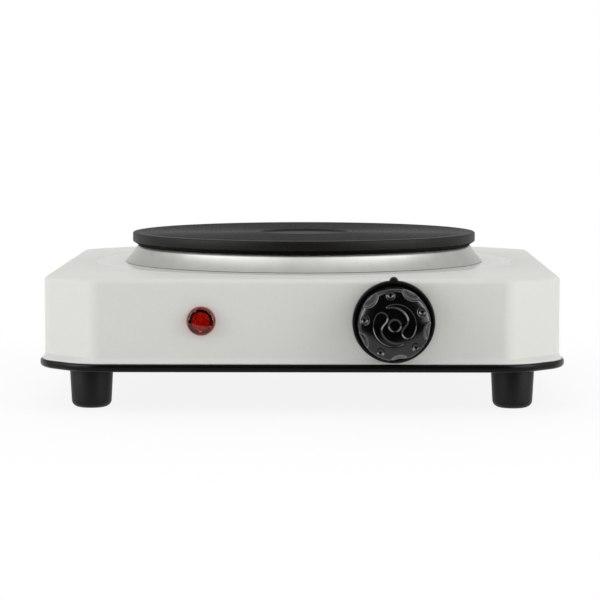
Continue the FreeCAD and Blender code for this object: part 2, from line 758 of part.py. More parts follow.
def comma():
    """Outline of one comma-shaped recess: its outer edge follows the knob's rim, its head bends inward."""
    def spot(share, degrees):
        turn = math.radians(degrees)
        return vec(comma_r * share * math.cos(turn), comma_r * share * math.sin(turn), 0)

    tail = spot(0.96, 115)
    heel = spot(0.98, -32)
    chin = spot(0.43, -36)
    neck = spot(0.62, 18)
    barb = spot(0.88, 112)
    runs = [(tail, spot(1, 40), heel), (heel, spot(0.7, -53), chin), (chin, spot(0.43, -9), neck)]
    runs += [(neck, spot(0.75, 55), barb), (barb, spot(0.92, 116), tail)]
    return Part.Wire([Part.Arc(a, b, c).toShape() for a, b, c in runs])


def control_knob():
    face = dome_z(edge_r)
    profile = [(0, knob_back), (knob_r, knob_back), (edge_r, face)]
    body = turned(profile + [(edge_r / 2, dome_z(edge_r / 2), 0, dome_z(0))])
    boxes = [(e, e.BoundBox) for e in body.Edges]
    rim = [e for e, box in boxes if abs(box.ZMin - face) < 1e-4 and abs(box.ZMax - face) < 1e-4]
    body = body.makeFillet(KNOB_ROUND, rim)
    cuts = []
    lean = math.degrees(math.atan(FLUTE_DEPTH / FLUTE_RISE))
    for i in range(MARK_COUNT):
        turn = 90 + MARK_TURN + 360 / MARK_COUNT * i
        flute = Part.makeCylinder(FLUTE_RADIUS, 3 * KNOB_HEIGHT, vec(0, 0, -1.5 * KNOB_HEIGHT))
        flute = flute.rotated(vec(0, 0, 0), vec(0, 1, 0), -lean)
        flute = flute.translated(vec(edge_r - FLUTE_DEPTH + FLUTE_RADIUS, 0, face))
        cuts.append(flute.rotated(vec(0, 0, 0), vec(0, 0, 1), turn + 180 / MARK_COUNT))
        ball_r = (mark_r ** 2 + MARK_DEPTH ** 2) / (2 * MARK_DEPTH)
        ball = Part.makeSphere(ball_r, vec(mark_ring, 0, dome_z(mark_ring) - MARK_DEPTH + ball_r))
        cuts.append(ball.rotated(vec(0, 0, 0), vec(0, 0, 1), turn))
    eye_low = KNOB_HEIGHT - EYE_DEPTH
    lift = EYE_DEPTH * 2
    widen = (EYE_DIAMETER - EYE_FLOOR) / 2
    cuts.append(Part.makeCone(EYE_FLOOR / 2, EYE_FLOOR / 2 + 2 * widen, lift, vec(0, 0, eye_low)))
    layer = dome(knob_back, 0, edge_r - KNOB_ROUND).cut(dome(knob_back, COMMA_DEPTH, edge_r - KNOB_ROUND))
    for turn in (0, 180):
        pocket = at(prism(comma(), KNOB_HEIGHT), 0, 0, knob_back).common(layer)
        cuts.append(pocket.rotated(vec(0, 0, 0), vec(0, 0, 1), turn))
    body = body.cut(cuts)
    wall_low = knob_r - KNOB_WALL - FLUTE_DEPTH / 2
    wall_top = edge_r - KNOB_WALL - FLUTE_DEPTH
    hub_r = HUB_DIAMETER / 2
    roof = face - KNOB_WALL
    hollow = turned([(hub_r, knob_back), (wall_low, knob_back), (wall_top, roof), (hub_r, roof)])
    bore = d_section(spindle_r + FIT, SPINDLE_FLAT + FIT, knob_back, SPINDLE_OUT + LOOSE)
    return body.cut([hollow, bore])


# Lamp, grommet, terminal block and leads

def lamp_lens():
    r = LENS_DIAMETER / 2
    face_r = r - LENS_STEP
    bore_r = barrel_r - LENS_WALL
    front_r = face_r - LENS_ROUND
    side_z = LENS_OUT - LENS_DOME - LENS_ROUND
    corner = quarter(front_r, side_z, LENS_ROUND, 1, 1)
    profile = [(0, LENS_OUT), (front_r / 2, LENS_OUT - LENS_DOME / 4, front_r, LENS_OUT - LENS_DOME)]
    profile += [corner + (face_r, side_z), (face_r, LENS_FLANGE), (r, LENS_FLANGE), (r, 0)]
    profile += [(barrel_r, 0), (barrel_r, -BARREL_LENGTH)]
    roof = LENS_OUT - LENS_FRONT
    return turned(profile + [(bore_r, -BARREL_LENGTH), (bore_r, roof), (0, roof)])


def lamp_plug():
    return cylinder(barrel_r - LENS_WALL - FIT, -BARREL_LENGTH, PLUG_LENGTH - BARREL_LENGTH)


def neon_bulb():
    r = BULB_DIAMETER / 2
    low = PLUG_LENGTH - BARREL_LENGTH
    high = LENS_OUT - LENS_FRONT - LOOSE
    return turned([(0, low), (r, low), (r, high - r)] + [quarter(0, high - r, r, 1, 1) + (0, high)])


def push_nut():
    return ring(PUSH_NUT_DIAMETER / 2, barrel_r + FIT, panel_in - PUSH_NUT_SHEET, panel_in)


def cord_grommet():
    bore = CORD_BORE / 2
    neck = GROMMET_NECK / 2
    flange = GROMMET_FLANGE / 2
    low = -SHEET - GROMMET_IN
    profile = [(bore, low), (flange, low), (flange, -SHEET), (neck, -SHEET), (neck, 0), (flange, 0)]
    return turned(profile + [(flange, GROMMET_RIM), (neck, GROMMET_OUT), (bore, GROMMET_OUT)])


def along_y(radius, x, y0, y1, z):
    return Part.makeCylinder(radius, y1 - y0, vec(x, y0, z), vec(0, 1, 0))


def block_screw_spots():
    return [GROMMET_X + side * POLE_PITCH / 2 for side in (-1, 1)]


def terminal_block():
    x = BLOCK_WIDTH / 2
    y = BLOCK_DEPTH / 2
    top = pan_z + BLOCK_HEIGHT
    body = block(GROMMET_X - x, GROMMET_X + x, block_y - y, block_y + y, pan_z, top)
    cuts = []
    for pole in poles:
        cuts.append(along_y(SLEEVE_DIAMETER / 2 + FIT, pole, block_y - y, block_y + y, pole_z))
        cuts.append(cylinder(CLAMP_SCREW / 2 + FIT, pole_z, top, pole, block_y))
    cuts += [cylinder(small_r + FIT, pan_z, top, spot, block_y) for spot in block_screw_spots()]
    return body.cut(cuts)


def terminal_sleeve(pole):
    y = BLOCK_DEPTH / 2
    sleeve = along_y(SLEEVE_DIAMETER / 2, pole, block_y - y, block_y + y, pole_z)
    bore = along_y(SLEEVE_BORE / 2, pole, block_y - y, block_y + y, pole_z)
    thread = cylinder(CLAMP_SCREW / 2 + FIT, pole_z, pole_z + SLEEVE_DIAMETER, pole, block_y)
    return sleeve.cut([bore, thread])


def clamp_screw(pole):
    r = CLAMP_SCREW / 2
    return at(screw(r, 1.5 * r, r, pan_z + BLOCK_HEIGHT, pole_z), pole, block_y)


def block_screw(x):
    r = small_r
    return at(screw(r, 1.5 * r, r, pan_z + BLOCK_HEIGHT, FOOT_HEIGHT - r), x, block_y)


def earth_lug():
    half = LUG_WIDTH / 2
    plate = block(LUG_X - half, LUG_X + half, lug_y - half, lug_y + LUG_LENGTH, pan_z, pan_z + LUG_SHEET)
    plate = plate.cut(cylinder(SCREW_DIAMETER / 2 + FIT, pan_z, pan_z + LUG_SHEET, LUG_X, lug_y))
    crimp = along_y(CRIMP_DIAMETER / 2, LUG_X, crimp_y - CRIMP_LENGTH, crimp_y, crimp_z)
    return plate.fuse(crimp).removeSplitter()


def earth_screw():
    r = SCREW_DIAMETER / 2
    body = screw(r, SCREW_HEAD_DIAMETER / 2, SCREW_HEAD_HEIGHT, pan_z + LUG_SHEET, FOOT_HEIGHT - r)
    return at(body, LUG_X, lug_y)


def lead(points, diameter):
    """A wire's tube along straight runs, joined by the largest tangent arcs that the runs leave room for."""
    spots = [vec(*p) for p in points]
    edges = []
    start = spots[0]
    for before, corner, after in zip(spots, spots[1:], spots[2:]):
        reach = 0.45 * min((before - corner).Length, (after - corner).Length)
        first, middle, last = bend(before, corner, after, reach)
        edges.append(Part.LineSegment(start, first).toShape())
        edges.append(Part.Arc(first, middle, last).toShape())
        start = last
    edges.append(Part.LineSegment(start, spots[-1]).toShape())
    section = Part.Wire(Part.makeCircle(diameter / 2, spots[0], spots[1] - spots[0]))
    return Part.Wire(edges).makePipeShell([section], True, False)


def from_pole(index, run=16):
    """The first two points of a lead that leaves the terminal block towards the front."""
    front = block_y - BLOCK_DEPTH / 2
    return [(poles[index], front + LEAD_GRIP, pole_z), (poles[index], front - run, pole_z)]


def to_tab(index, side):
    """The last two points of a lead that meets a plate terminal's tab from below."""
    x, y = terminal_spots[index]
    x += side * (TAB_LENGTH / 2 - LEAD_DIAMETER / 2)
    return [(x, y, tab_z - 9), (x, y, tab_z)]


def line_lead():
    x = KNOB_X + STACK_OFFSET + BLADE_TAIL
    y = -half_y - (blade_front + blade_rear) / 2
    low = pan_z + 7
    runs = [(-18, 26, low), (40, -16, low), (x + 13, -52, low + 3), (x + 18, y + 16, control_z - 4)]
    return lead(from_pole(2) + runs + [(x + 15, y, control_z), (x, y, control_z)], LEAD_DIAMETER)


def switched_lead():
    x = KNOB_X + STACK_OFFSET + FIXED_TAIL
    y = -half_y - (fixed_front + fixed_rear) / 2
    runs = [(x, y, control_z), (x + 9, y, control_z), (x + 10, y + 18, control_z - 2)]
    runs += [(x - 16, y + 32, control_z - 7), (x - 36, y + 38, control_z - 8)]
    return lead(runs + to_tab(1, 1), LEAD_DIAMETER)


def neutral_lead():
    low = pan_z + 9
    x, y = to_tab(0, 1)[0][:2]
    run = [(-34, 18, low), (-8, -6, low), (x - 3, y + 8, low + 2)]
    return lead(from_pole(1) + run + to_tab(0, 1), LEAD_DIAMETER)


def earth_lead():
    runs = [(LUG_X, crimp_y + 9, crimp_z), (LUG_X, crimp_y, crimp_z)]
    return lead(from_pole(0, 9) + runs, LEAD_DIAMETER)


def lamp_lead(side, index):
    x = LAMP_X + side * LAMP_LEAD_DIAMETER
    y = -half_y + BARREL_LENGTH
    end = to_tab(index, -1)
    tx, ty = end[0][:2]
    runs = [(x, y, control_z), (x, y + 12 - 4 * side, control_z)]
    runs += [(x + 24 + 4 * side, ty - 6 - 4 * side, control_z - 4), (tx - 9, ty - 2, tab_z - 11)]
    return lead(runs + end, LAMP_LEAD_DIAMETER)


def build():
    os.makedirs("parts", exist_ok=True)
    save("housing_shell", housing_shell())
    save("corner_brackets", group([corner_bracket(x, y) for x, y in foot_spots]))
    save("base_pan", base_pan())
    for name, (x, y) in zip(("front_left", "rear_left", "front_right", "rear_right"), foot_spots):
        save("foot_" + name, at(foot(), x, y))
    save("foot_screws", group([at(foot_screw(), x, y) for x, y in foot_spots]))

    coil = coil_tube()
    save("hot_plate", hot_plate())
    save("heating_coil", coil)
    save("magnesia_bed", magnesia(coil_z, roof_z, coil))
    save("magnesia_cap", magnesia(under_z, coil_z, coil))
    save("heater_cover", heater_cover())
    save("terminal_bushings", group([terminal_bushing(x, y) for x, y in terminal_spots]))
    save("terminal_pins", group([terminal_pin(x, y) for x, y in terminal_spots]))
    save("trim_ring", trim_ring())
    save("clamp_bridge", clamp_bridge())
    save("centre_stud", cylinder(stud_r, stud_low, under_z + STUD_SINK - LOOSE))
    save("stud_washer", ring(WASHER_DIAMETER / 2, stud_r + FIT, washer_z, washer_z + WASHER_SHEET))
    save("stud_nuts", group([nut(cover_z - NUT_HEIGHT), nut(washer_z - NUT_HEIGHT)]))

    screws = [at(thermostat_screw(), side * screw_spread, 0) for side in (-1, 1)]
    transfer = cylinder(TRANSFER_DIAMETER / 2, bimetal_front, blade_rear, TRANSFER_X)
    bimetal = blade(TRANSFER_X - BLADE_WIDTH / 2, STACK_DIAMETER / 2, bimetal_rear, bimetal_front)
    controls = {
        "thermostat_bracket": thermostat_bracket(),
        "spindle_bush": spindle_bush(),
        "spindle": spindle(),
        "pusher_bead": pusher_bead(),
        "stack_insulators": group(stack_insulators()),
        "stack_rivet": stack_rivet(),
        "contact_blade": contact_blade(),
        "fixed_contact": fixed_contact(),
        "bimetal_strip": bimetal,
        "transfer_pin": transfer,
        "thermostat_screws": group(screws),
        "dial_ring": dial_ring(),
        "control_knob": control_knob(),
    }
    for name, shape in controls.items():
        save(name, on_panel(shape, KNOB_X))
    for name, shape in (("lamp_lens", lamp_lens()), ("lamp_plug", lamp_plug()),
                        ("neon_bulb", neon_bulb()), ("lamp_push_nut", push_nut())):
        save(name, on_panel(shape, LAMP_X))

    save("cord_grommet", on_rear(cord_grommet(), GROMMET_X, lip_z + GROMMET_HEIGHT))
    save("terminal_block", terminal_block())
    save("terminal_sleeves", group([terminal_sleeve(pole) for pole in poles]))
    save("clamp_screws", group([clamp_screw(pole) for pole in poles]))
    save("block_screws", group([block_screw(x) for x in block_screw_spots()]))
    save("earth_lug", earth_lug())
    save("earth_screw", earth_screw())
    save("line_lead", line_lead())
    save("switched_lead", switched_lead())
    save("neutral_lead", neutral_lead())
    save("earth_lead", earth_lead())
    save("lamp_lead_inner", lamp_lead(-1, 0))
    save("lamp_lead_outer", lamp_lead(1, 1))


build()
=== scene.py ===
import json
import math

import bmesh
import bpy
import numpy as np
from mathutils import Matrix, Vector


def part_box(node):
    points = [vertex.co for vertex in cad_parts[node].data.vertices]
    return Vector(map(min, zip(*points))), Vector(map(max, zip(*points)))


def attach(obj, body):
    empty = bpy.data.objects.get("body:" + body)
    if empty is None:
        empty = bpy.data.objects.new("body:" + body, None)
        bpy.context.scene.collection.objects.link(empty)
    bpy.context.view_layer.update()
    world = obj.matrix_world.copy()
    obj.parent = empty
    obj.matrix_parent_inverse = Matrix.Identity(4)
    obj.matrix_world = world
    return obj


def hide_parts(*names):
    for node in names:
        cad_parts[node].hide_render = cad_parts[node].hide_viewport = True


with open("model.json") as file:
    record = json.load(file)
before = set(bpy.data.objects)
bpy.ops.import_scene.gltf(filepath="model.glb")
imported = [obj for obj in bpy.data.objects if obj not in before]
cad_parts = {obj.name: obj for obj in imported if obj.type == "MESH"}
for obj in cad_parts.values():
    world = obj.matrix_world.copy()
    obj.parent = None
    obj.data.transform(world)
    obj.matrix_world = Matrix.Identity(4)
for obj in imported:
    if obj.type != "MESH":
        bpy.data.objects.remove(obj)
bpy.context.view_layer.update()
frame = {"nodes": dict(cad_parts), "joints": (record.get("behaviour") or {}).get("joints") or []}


# Housing shell. One sheet of steel is pressed into a shallow square box with cut corners, open below, and
# enamelled white. Its lower edge flares into a lip. A low panel is pressed up on its top, with a glossier
# round seat for the trim ring.
mm = 0.001
shell_low, shell_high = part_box("housing_shell")
plate_low, plate_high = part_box("hot_plate")
lens_low, lens_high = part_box("lamp_lens")
grommet_low, grommet_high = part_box("cord_grommet")
axis = (plate_low + plate_high) / 2
knob_at = Vector(next(j for j in frame["joints"] if j["name"] == "knob_turn")["pos_m"])
lamp_at = Vector(((lens_low.x + lens_high.x) / 2, knob_at.y, (lens_low.z + lens_high.z) / 2))
grommet_at = (grommet_low + grommet_high) / 2

sheet = 0.7 * mm
lip_flare = 1.1 * mm
lip_edge = 0.5 * mm
flare_height = 1.6 * mm
lip_cut = 18.0 * mm
lip_radius = 18.0 * mm
wall_half = shell_high.x - lip_flare
corner_cut = 22.0 * mm
corner_radius = 8.0 * mm
top_bend = 2.2 * mm
band_width = 5.0 * mm
step_width = 3.0 * mm
step_rise = 0.25 * mm
seat_radius = 94.0 * mm
seat_slope = 3.2 * mm
seat_rise = 0.35 * mm
panel_radius = 6.5 * mm
step_bend = 1.1 * mm
lip_bend = 0.3 * mm
lip_zone = 9.0 * mm
flare_bend = 0.5 * mm
hair = 0.01 * mm
least_wall = 400 * mm * mm
flat_margin = 1.2 * mm
opening_radius = 74.5 * mm
bush_hole = 5.3 * mm
lens_hole = 4.95 * mm
grommet_hole = 6.05 * mm


def cut_corner_face(bm, grow, z, radius, cut=corner_cut):
    """A flat face in the housing's plan, grown by a margin: a square with cut corners, all rounded."""
    half = wall_half + grow
    cut += grow * (2 - math.sqrt(2))
    spots = []
    for sx, sy in ((1, -1), (1, 1), (-1, 1), (-1, -1)):
        pair = [(sx * half, sy * (half - cut)), (sx * (half - cut), sy * half)]
        spots += pair if sx * sy > 0 else pair[::-1]
    corners = [bm.verts.new((axis.x + x, axis.y + y, z)) for x, y in spots]
    bm.faces.new(corners)
    bmesh.ops.bevel(bm, geom=corners, offset=radius * math.tan(math.pi / 8), offset_type="OFFSET",
                    segments=8, profile=0.5, affect="VERTICES", material=-1)
    level = [f for f in bm.faces if all(abs(v.co.z - z) < 1e-6 for v in f.verts)]
    return max(level, key=lambda f: len(f.verts))


def raise_face(bm, face, inward, up):
    """Draw a flat face in and lift it, which leaves a wall or a slope round it."""
    bmesh.ops.inset_region(bm, faces=[face], use_boundary=True, use_even_offset=True, thickness=inward,
                           depth=up)


def open_face(bm, face):
    """Take a face away and give back the edges that were round it."""
    rim = face.edges[:]
    bmesh.ops.delete(bm, geom=[face], context="FACES_ONLY")
    return rim


def ring_of_edges(bm, place, radius, segments, run=0.0):
    """A circle of edges in a place's own XY plane, drawn out along Y into a slot by a run each way."""
    turn = Matrix.Rotation(math.pi / segments, 4, "Z")
    verts = bmesh.ops.create_circle(bm, segments=segments, radius=radius, matrix=turn)["verts"]
    for v in verts:
        v.co.y += math.copysign(run, v.co.y)
    bmesh.ops.transform(bm, verts=verts, matrix=place)
    return list({e for v in verts for e in v.link_edges})


def pierce(bm, face, holes):
    """Fill a flat face anew, round a list of holes given as rings of edges."""
    normal = face.normal.copy()
    rims = open_face(bm, face) + [e for hole in holes for e in hole]
    bmesh.ops.triangle_fill(bm, use_beauty=True, edges=rims, normal=normal)


def edges_at(bm, z, least, most, cut=corner_cut):
    """Level edges at one height whose distance outside the housing's plan lies between two values."""
    def outside(co):
        x, y = abs(co.x - axis.x), abs(co.y - axis.y)
        return max(x, y, (x + y + cut) / math.sqrt(2) - wall_half * (math.sqrt(2) - 1)) - wall_half

    found = []
    for e in bm.edges:
        if all(abs(v.co.z - z) < 1e-6 and least < outside(v.co) < most for v in e.verts):
            found.append(e)
    return found


def round_edges(bm, edges, width, segments):
    """Round a list of edges by a width."""
    bmesh.ops.bevel(bm, geom=edges, offset=width, offset_type="OFFSET", segments=segments, profile=0.5,
                    affect="EDGES", material=-1)


def panel_place(spot, outward=-1):
    """The place of a part that is built along +Z and stands on the front wall, or on the rear one."""
    return Matrix.Translation(spot) @ Matrix.Rotation(-outward * math.pi / 2, 4, "X")


def surface(name, colour, rough, metal=0.0, grain=500.0, tint=0.05, spread=0.05, relief=0.04, sockets=()):
    """A finish whose colour, roughness and fine relief vary with noise on the piece's own coordinates."""
    made = bpy.data.materials.new(name)
    made.use_nodes = True
    nodes = made.node_tree.nodes
    link = made.node_tree.links.new
    shader = nodes["Principled BSDF"]
    shader.inputs["Metallic"].default_value = metal
    for socket, value in dict(sockets).items():
        shader.inputs[socket].default_value = value
    where = nodes.new("ShaderNodeTexCoord")
    noise = nodes.new("ShaderNodeTexNoise")
    noise.inputs["Scale"].default_value = grain
    noise.inputs["Detail"].default_value = 4.0
    link(where.outputs["Object"], noise.inputs["Vector"])
    shade = nodes.new("ShaderNodeValToRGB")
    for stop, share in zip(shade.color_ramp.elements, (1 - tint, 1 + tint)):
        stop.color = [min(c * share, 1.0) for c in colour] + [1.0]
    shade.color_ramp.elements[0].position = 0.3
    shade.color_ramp.elements[1].position = 0.7
    link(noise.outputs["Fac"], shade.inputs["Fac"])
    link(shade.outputs["Color"], shader.inputs["Base Color"])
    gloss = nodes.new("ShaderNodeMapRange")
    gloss.inputs["To Min"].default_value = max(rough - spread, 0.0)
    gloss.inputs["To Max"].default_value = min(rough + spread, 1.0)
    link(noise.outputs["Fac"], gloss.inputs["Value"])
    link(gloss.outputs["Result"], shader.inputs["Roughness"])
    bump = nodes.new("ShaderNodeBump")
    bump.inputs["Strength"].default_value = relief
    bump.inputs["Distance"].default_value = 0.2 * mm
    link(noise.outputs["Fac"], bump.inputs["Height"])
    link(bump.outputs["Normal"], shader.inputs["Normal"])
    return made


def piece(name, bm, *finishes, crease=35.0):
    """A finished object from a mesh, smooth but for edges that turn by more than an angle."""
    mesh = bpy.data.meshes.new(name)
    bm.to_mesh(mesh)
    bm.free()
    mesh.shade_smooth()
    mesh.set_sharp_from_angle(angle=math.radians(crease))
    for finish in finishes:
        mesh.materials.append(finish)
    made = bpy.data.objects.new(name, mesh)
    bpy.context.scene.collection.objects.link(made)
    return made


bm = bmesh.new()
lip_z = shell_low.z
panel_z = shell_high.z - seat_rise
top_z = panel_z - step_rise
edge_z = lip_z + lip_edge
wall_z = edge_z + flare_height
face = cut_corner_face(bm, lip_flare, lip_z, lip_radius + lip_flare, lip_cut)
raise_face(bm, face, 0.0, lip_edge)
lip_rim = open_face(bm, face)
face = cut_corner_face(bm, 0.0, wall_z, corner_radius)
bmesh.ops.bridge_loops(bm, edges=lip_rim + face.edges[:])
raise_face(bm, face, 0.0, top_z - wall_z)
wall_rim = open_face(bm, face)
panel = cut_corner_face(bm, -band_width, top_z, panel_radius)
bmesh.ops.bridge_loops(bm, edges=wall_rim + panel.edges[:])
raise_face(bm, panel, step_width, step_rise)
raise_face(bm, panel, flat_margin, 0.0)
seat_foot = ring_of_edges(bm, Matrix.Translation((axis.x, axis.y, panel_z)), seat_radius + seat_slope, 128)
pierce(bm, panel, [seat_foot])
seat = bmesh.ops.edgenet_fill(bm, edges=seat_foot)["faces"][0]
seat.normal_update()
if seat.normal.z < 0:
    seat.normal_flip()
raise_face(bm, seat, seat_slope / 2, seat_rise / 2)
raise_face(bm, seat, seat_slope / 2, seat_rise / 2)
raise_face(bm, seat, flat_margin, 0.0)
raise_face(bm, seat, seat_radius - flat_margin - opening_radius, 0.0)
open_face(bm, seat)
bmesh.ops.recalc_face_normals(bm, faces=bm.faces)
round_edges(bm, edges_at(bm, top_z, -mm, mm), top_bend, 7)
step_edges = edges_at(bm, top_z, -band_width - mm, -band_width + mm)
step_edges += edges_at(bm, panel_z, -band_width - step_width - mm, -band_width - step_width + mm)
round_edges(bm, step_edges, step_bend, 4)
round_edges(bm, edges_at(bm, edge_z, 0, lip_zone), lip_bend, 3)
round_edges(bm, edges_at(bm, wall_z, -mm, mm), flare_bend, 4)
walls = [f for f in bm.faces if abs(f.normal.z) < 0.01 and f.calc_area() > least_wall]
bmesh.ops.inset_individual(bm, faces=walls, thickness=flat_margin, use_even_offset=True)
front = min(walls, key=lambda f: f.calc_center_median().y)
rear = max(walls, key=lambda f: f.calc_center_median().y)
pierce(bm, front, [ring_of_edges(bm, panel_place(knob_at), bush_hole, 32),
                   ring_of_edges(bm, panel_place(lamp_at), lens_hole, 32)])
rear_spot = Vector((grommet_at.x, shell_high.y - lip_flare, grommet_at.z))
pierce(bm, rear, [ring_of_edges(bm, panel_place(rear_spot, 1), grommet_hole, 32)])
bmesh.ops.recalc_face_normals(bm, faces=bm.faces)
bmesh.ops.solidify(bm, geom=bm.faces[:], thickness=sheet)
for f in bm.faces:
    if all(v.co.z > shell_high.z - hair for v in f.verts):
        f.material_index = 1

enamel = (0.725, 0.73, 0.696)
white_enamel = surface("white_enamel", enamel, 0.40, grain=900.0, tint=0.012, spread=0.03, relief=0.010,
                       sockets={"Specular IOR Level": 0.2})
seat_enamel = surface("seat_enamel", enamel, 0.12, grain=900.0, tint=0.012, spread=0.02, relief=0.002)
housing = piece("enamelled_housing", bm, white_enamel, seat_enamel)
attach(housing, "appliance")
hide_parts("housing_shell")


# Corner brackets. Four bent steel angles are spot-welded inside the cut corners, and the foot screws end in
# them. They and most of the small hardware inside are zinc-plated, with the faint spangle of the plating.
def dress(finish, *names):
    """Give a finish to pieces that keep their modelled shape."""
    for name in names:
        for slot in frame["nodes"][name].material_slots:
            slot.material = finish


zinc_steel = surface("zinc_steel", (0.58, 0.58, 0.57), 0.34, metal=1.0, grain=260.0, tint=0.10, spread=0.10,
                     relief=0.05)
dress(zinc_steel, "corner_brackets")


# Cord grommet. A moulded rubber bush is pressed into the rear wall: a flange each side of the sheet, and a
# stub outside with three grip ribs. Its bore is empty.
def lathe(profile, steps, closed=True):
    """A turned part on the Z axis: a profile of (radius, height) points, spun right round."""
    bm = bmesh.new()
    verts = [bm.verts.new((r, 0.0, z)) for r, z in profile]
    pairs = list(zip(verts, verts[1:]))
    if closed:
        pairs.append((verts[-1], verts[0]))
    edges = [bm.edges.new(pair) for pair in pairs]
    bmesh.ops.spin(bm, geom=verts + edges, cent=(0, 0, 0), axis=(0, 0, 1), angle=math.tau, steps=steps,
                   use_merge=True)
    bmesh.ops.remove_doubles(bm, verts=bm.verts, dist=1e-7)
    bmesh.ops.recalc_face_normals(bm, faces=bm.faces)
    return bm


def soften(bm, width, segments=3, least=25.0):
    """Round every edge that turns by more than an angle."""
    sharp = [e for e in bm.edges if e.is_manifold and e.calc_face_angle() > math.radians(least)]
    round_edges(bm, sharp, width, segments)


def scaled(points, unit=mm):
    """Points in metres from points in millimetres."""
    return [tuple(value * unit for value in point) for point in points]


bore, neck, flange, rim, stub, inside = 3.6, 6.0, 8.0, 2.0, 6.0, 2.5
wall = sheet / mm
ribs, rib_first, rib_pitch = 3, 0.3, 1.2
rib_form = ((0.9, 0.0), (0.4, 0.3), (0.5, 0.8), (1.3, 1.0))
stub_taper, rubber_edge = 0.3, 0.18
profile = [(bore, -wall - inside), (flange, -wall - inside), (flange, -wall), (neck, -wall), (neck, 0)]
profile += [(flange, 0), (flange, rim)]
for rib in range(ribs):
    low = rim + rib_first + rib * rib_pitch
    reach = flange - (low - rim) / (stub - rim) * (flange - neck)
    profile += [(reach - inset, low + up) for inset, up in rib_form]
profile += [(neck - stub_taper, stub), (bore, stub)]
bm = lathe(scaled(profile), steps=64)
soften(bm, rubber_edge * mm)
bmesh.ops.transform(bm, verts=bm.verts, matrix=panel_place(rear_spot, 1))
grommet_rubber = surface("grommet_rubber", (0.018, 0.018, 0.018), 0.62, grain=2200.0, tint=0.15, spread=0.08,
                         relief=0.10)
grommet = piece("rubber_grommet", bm, grommet_rubber)
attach(grommet, "appliance")
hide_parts("cord_grommet")


# Trim ring. A strip of stainless steel is spun into a cone that flares out a little at its foot. It stands
# on the housing round the opening, and the hot plate's shoulder rests on its inner lip. Fine turning marks
# run round it.
ring_low, ring_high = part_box("trim_ring")


def turning_marks(finish, pitch, relief):
    """Fine lines round the plate's axis in the relief of a finish, as turning or spinning leaves them."""
    nodes = finish.node_tree.nodes
    link = finish.node_tree.links.new
    where = nodes.new("ShaderNodeTexCoord")
    centred = nodes.new("ShaderNodeMapping")
    centred.vector_type = "POINT"
    centred.inputs["Location"].default_value = (-axis.x, -axis.y, 0.0)
    link(where.outputs["Object"], centred.inputs["Vector"])
    parts = nodes.new("ShaderNodeSeparateXYZ")
    link(centred.outputs["Vector"], parts.inputs["Vector"])
    flat = nodes.new("ShaderNodeCombineXYZ")
    link(parts.outputs["X"], flat.inputs["X"])
    link(parts.outputs["Y"], flat.inputs["Y"])
    radius = nodes.new("ShaderNodeVectorMath")
    radius.operation = "LENGTH"
    link(flat.outputs["Vector"], radius.inputs[0])
    line = nodes.new("ShaderNodeCombineXYZ")
    link(radius.outputs["Value"], line.inputs["X"])
    link(parts.outputs["Z"], line.inputs["Y"])
    marks = nodes.new("ShaderNodeTexNoise")
    marks.inputs["Scale"].default_value = 1.0 / pitch
    marks.inputs["Detail"].default_value = 3.0
    link(line.outputs["Vector"], marks.inputs["Vector"])
    bump = nodes.new("ShaderNodeBump")
    bump.inputs["Strength"].default_value = relief
    bump.inputs["Distance"].default_value = 0.1 * mm
    link(marks.outputs["Fac"], bump.inputs["Height"])
    link(nodes["Bump"].outputs["Normal"], bump.inputs["Normal"])
    link(bump.outputs["Normal"], nodes["Principled BSDF"].inputs["Normal"])


sheet_ring = 0.6
cone_wall = 0.72
foot_r = ring_high.x / mm
foot_z = ring_low.z / mm
head_z = ring_high.z / mm
head_r = 75.7
lip_r = 73.8
sag = 0.40
hem, hem_inner, hem_outer = 0.15, 1.1, 0.5
slope = 10
outer = []
for i in range(slope + 1):
    t = i / slope
    r = foot_r + (head_r - foot_r) * t - 4 * t * (1 - t) * sag
    outer.append((r, foot_z + hem + (head_z - sheet_ring - foot_z - hem) * t))
inner = [(r - cone_wall, z) for r, z in reversed(outer)]
inner += [(foot_r - hem_inner, foot_z), (foot_r - hem_outer, foot_z)]
profile = outer + [(head_r - sheet_ring, head_z), (lip_r, head_z), (lip_r, head_z - sheet_ring)] + inner
bm = lathe(scaled(profile), steps=180)
bmesh.ops.translate(bm, verts=bm.verts, vec=(axis.x, axis.y, 0))
satin_steel = surface("satin_steel", (0.655, 0.655, 0.625), 0.32, metal=1.0, grain=160.0, tint=0.03,
                      spread=0.05, relief=0.01)
turning_marks(satin_steel, 0.25 * mm, 0.10)
ring = piece("satin_ring", bm, satin_steel)
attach(ring, "appliance")
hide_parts("trim_ring")


# Hot plate. It is cast in grey iron, turned on its top with two dozen shallow round grooves about a dished
# middle, and blackened. Its underside has a channel round the central boss for the heater. Below the rim's
# foot the iron is painted darker and duller, as painted shade under the overhanging rim.
def quarter(steps):
    """Sine and cosine of even steps through a quarter turn, for a rounded edge."""
    turns = [math.radians(90 * i / steps) for i in range(steps + 1)]
    return [(math.sin(turn), math.cos(turn)) for turn in turns]


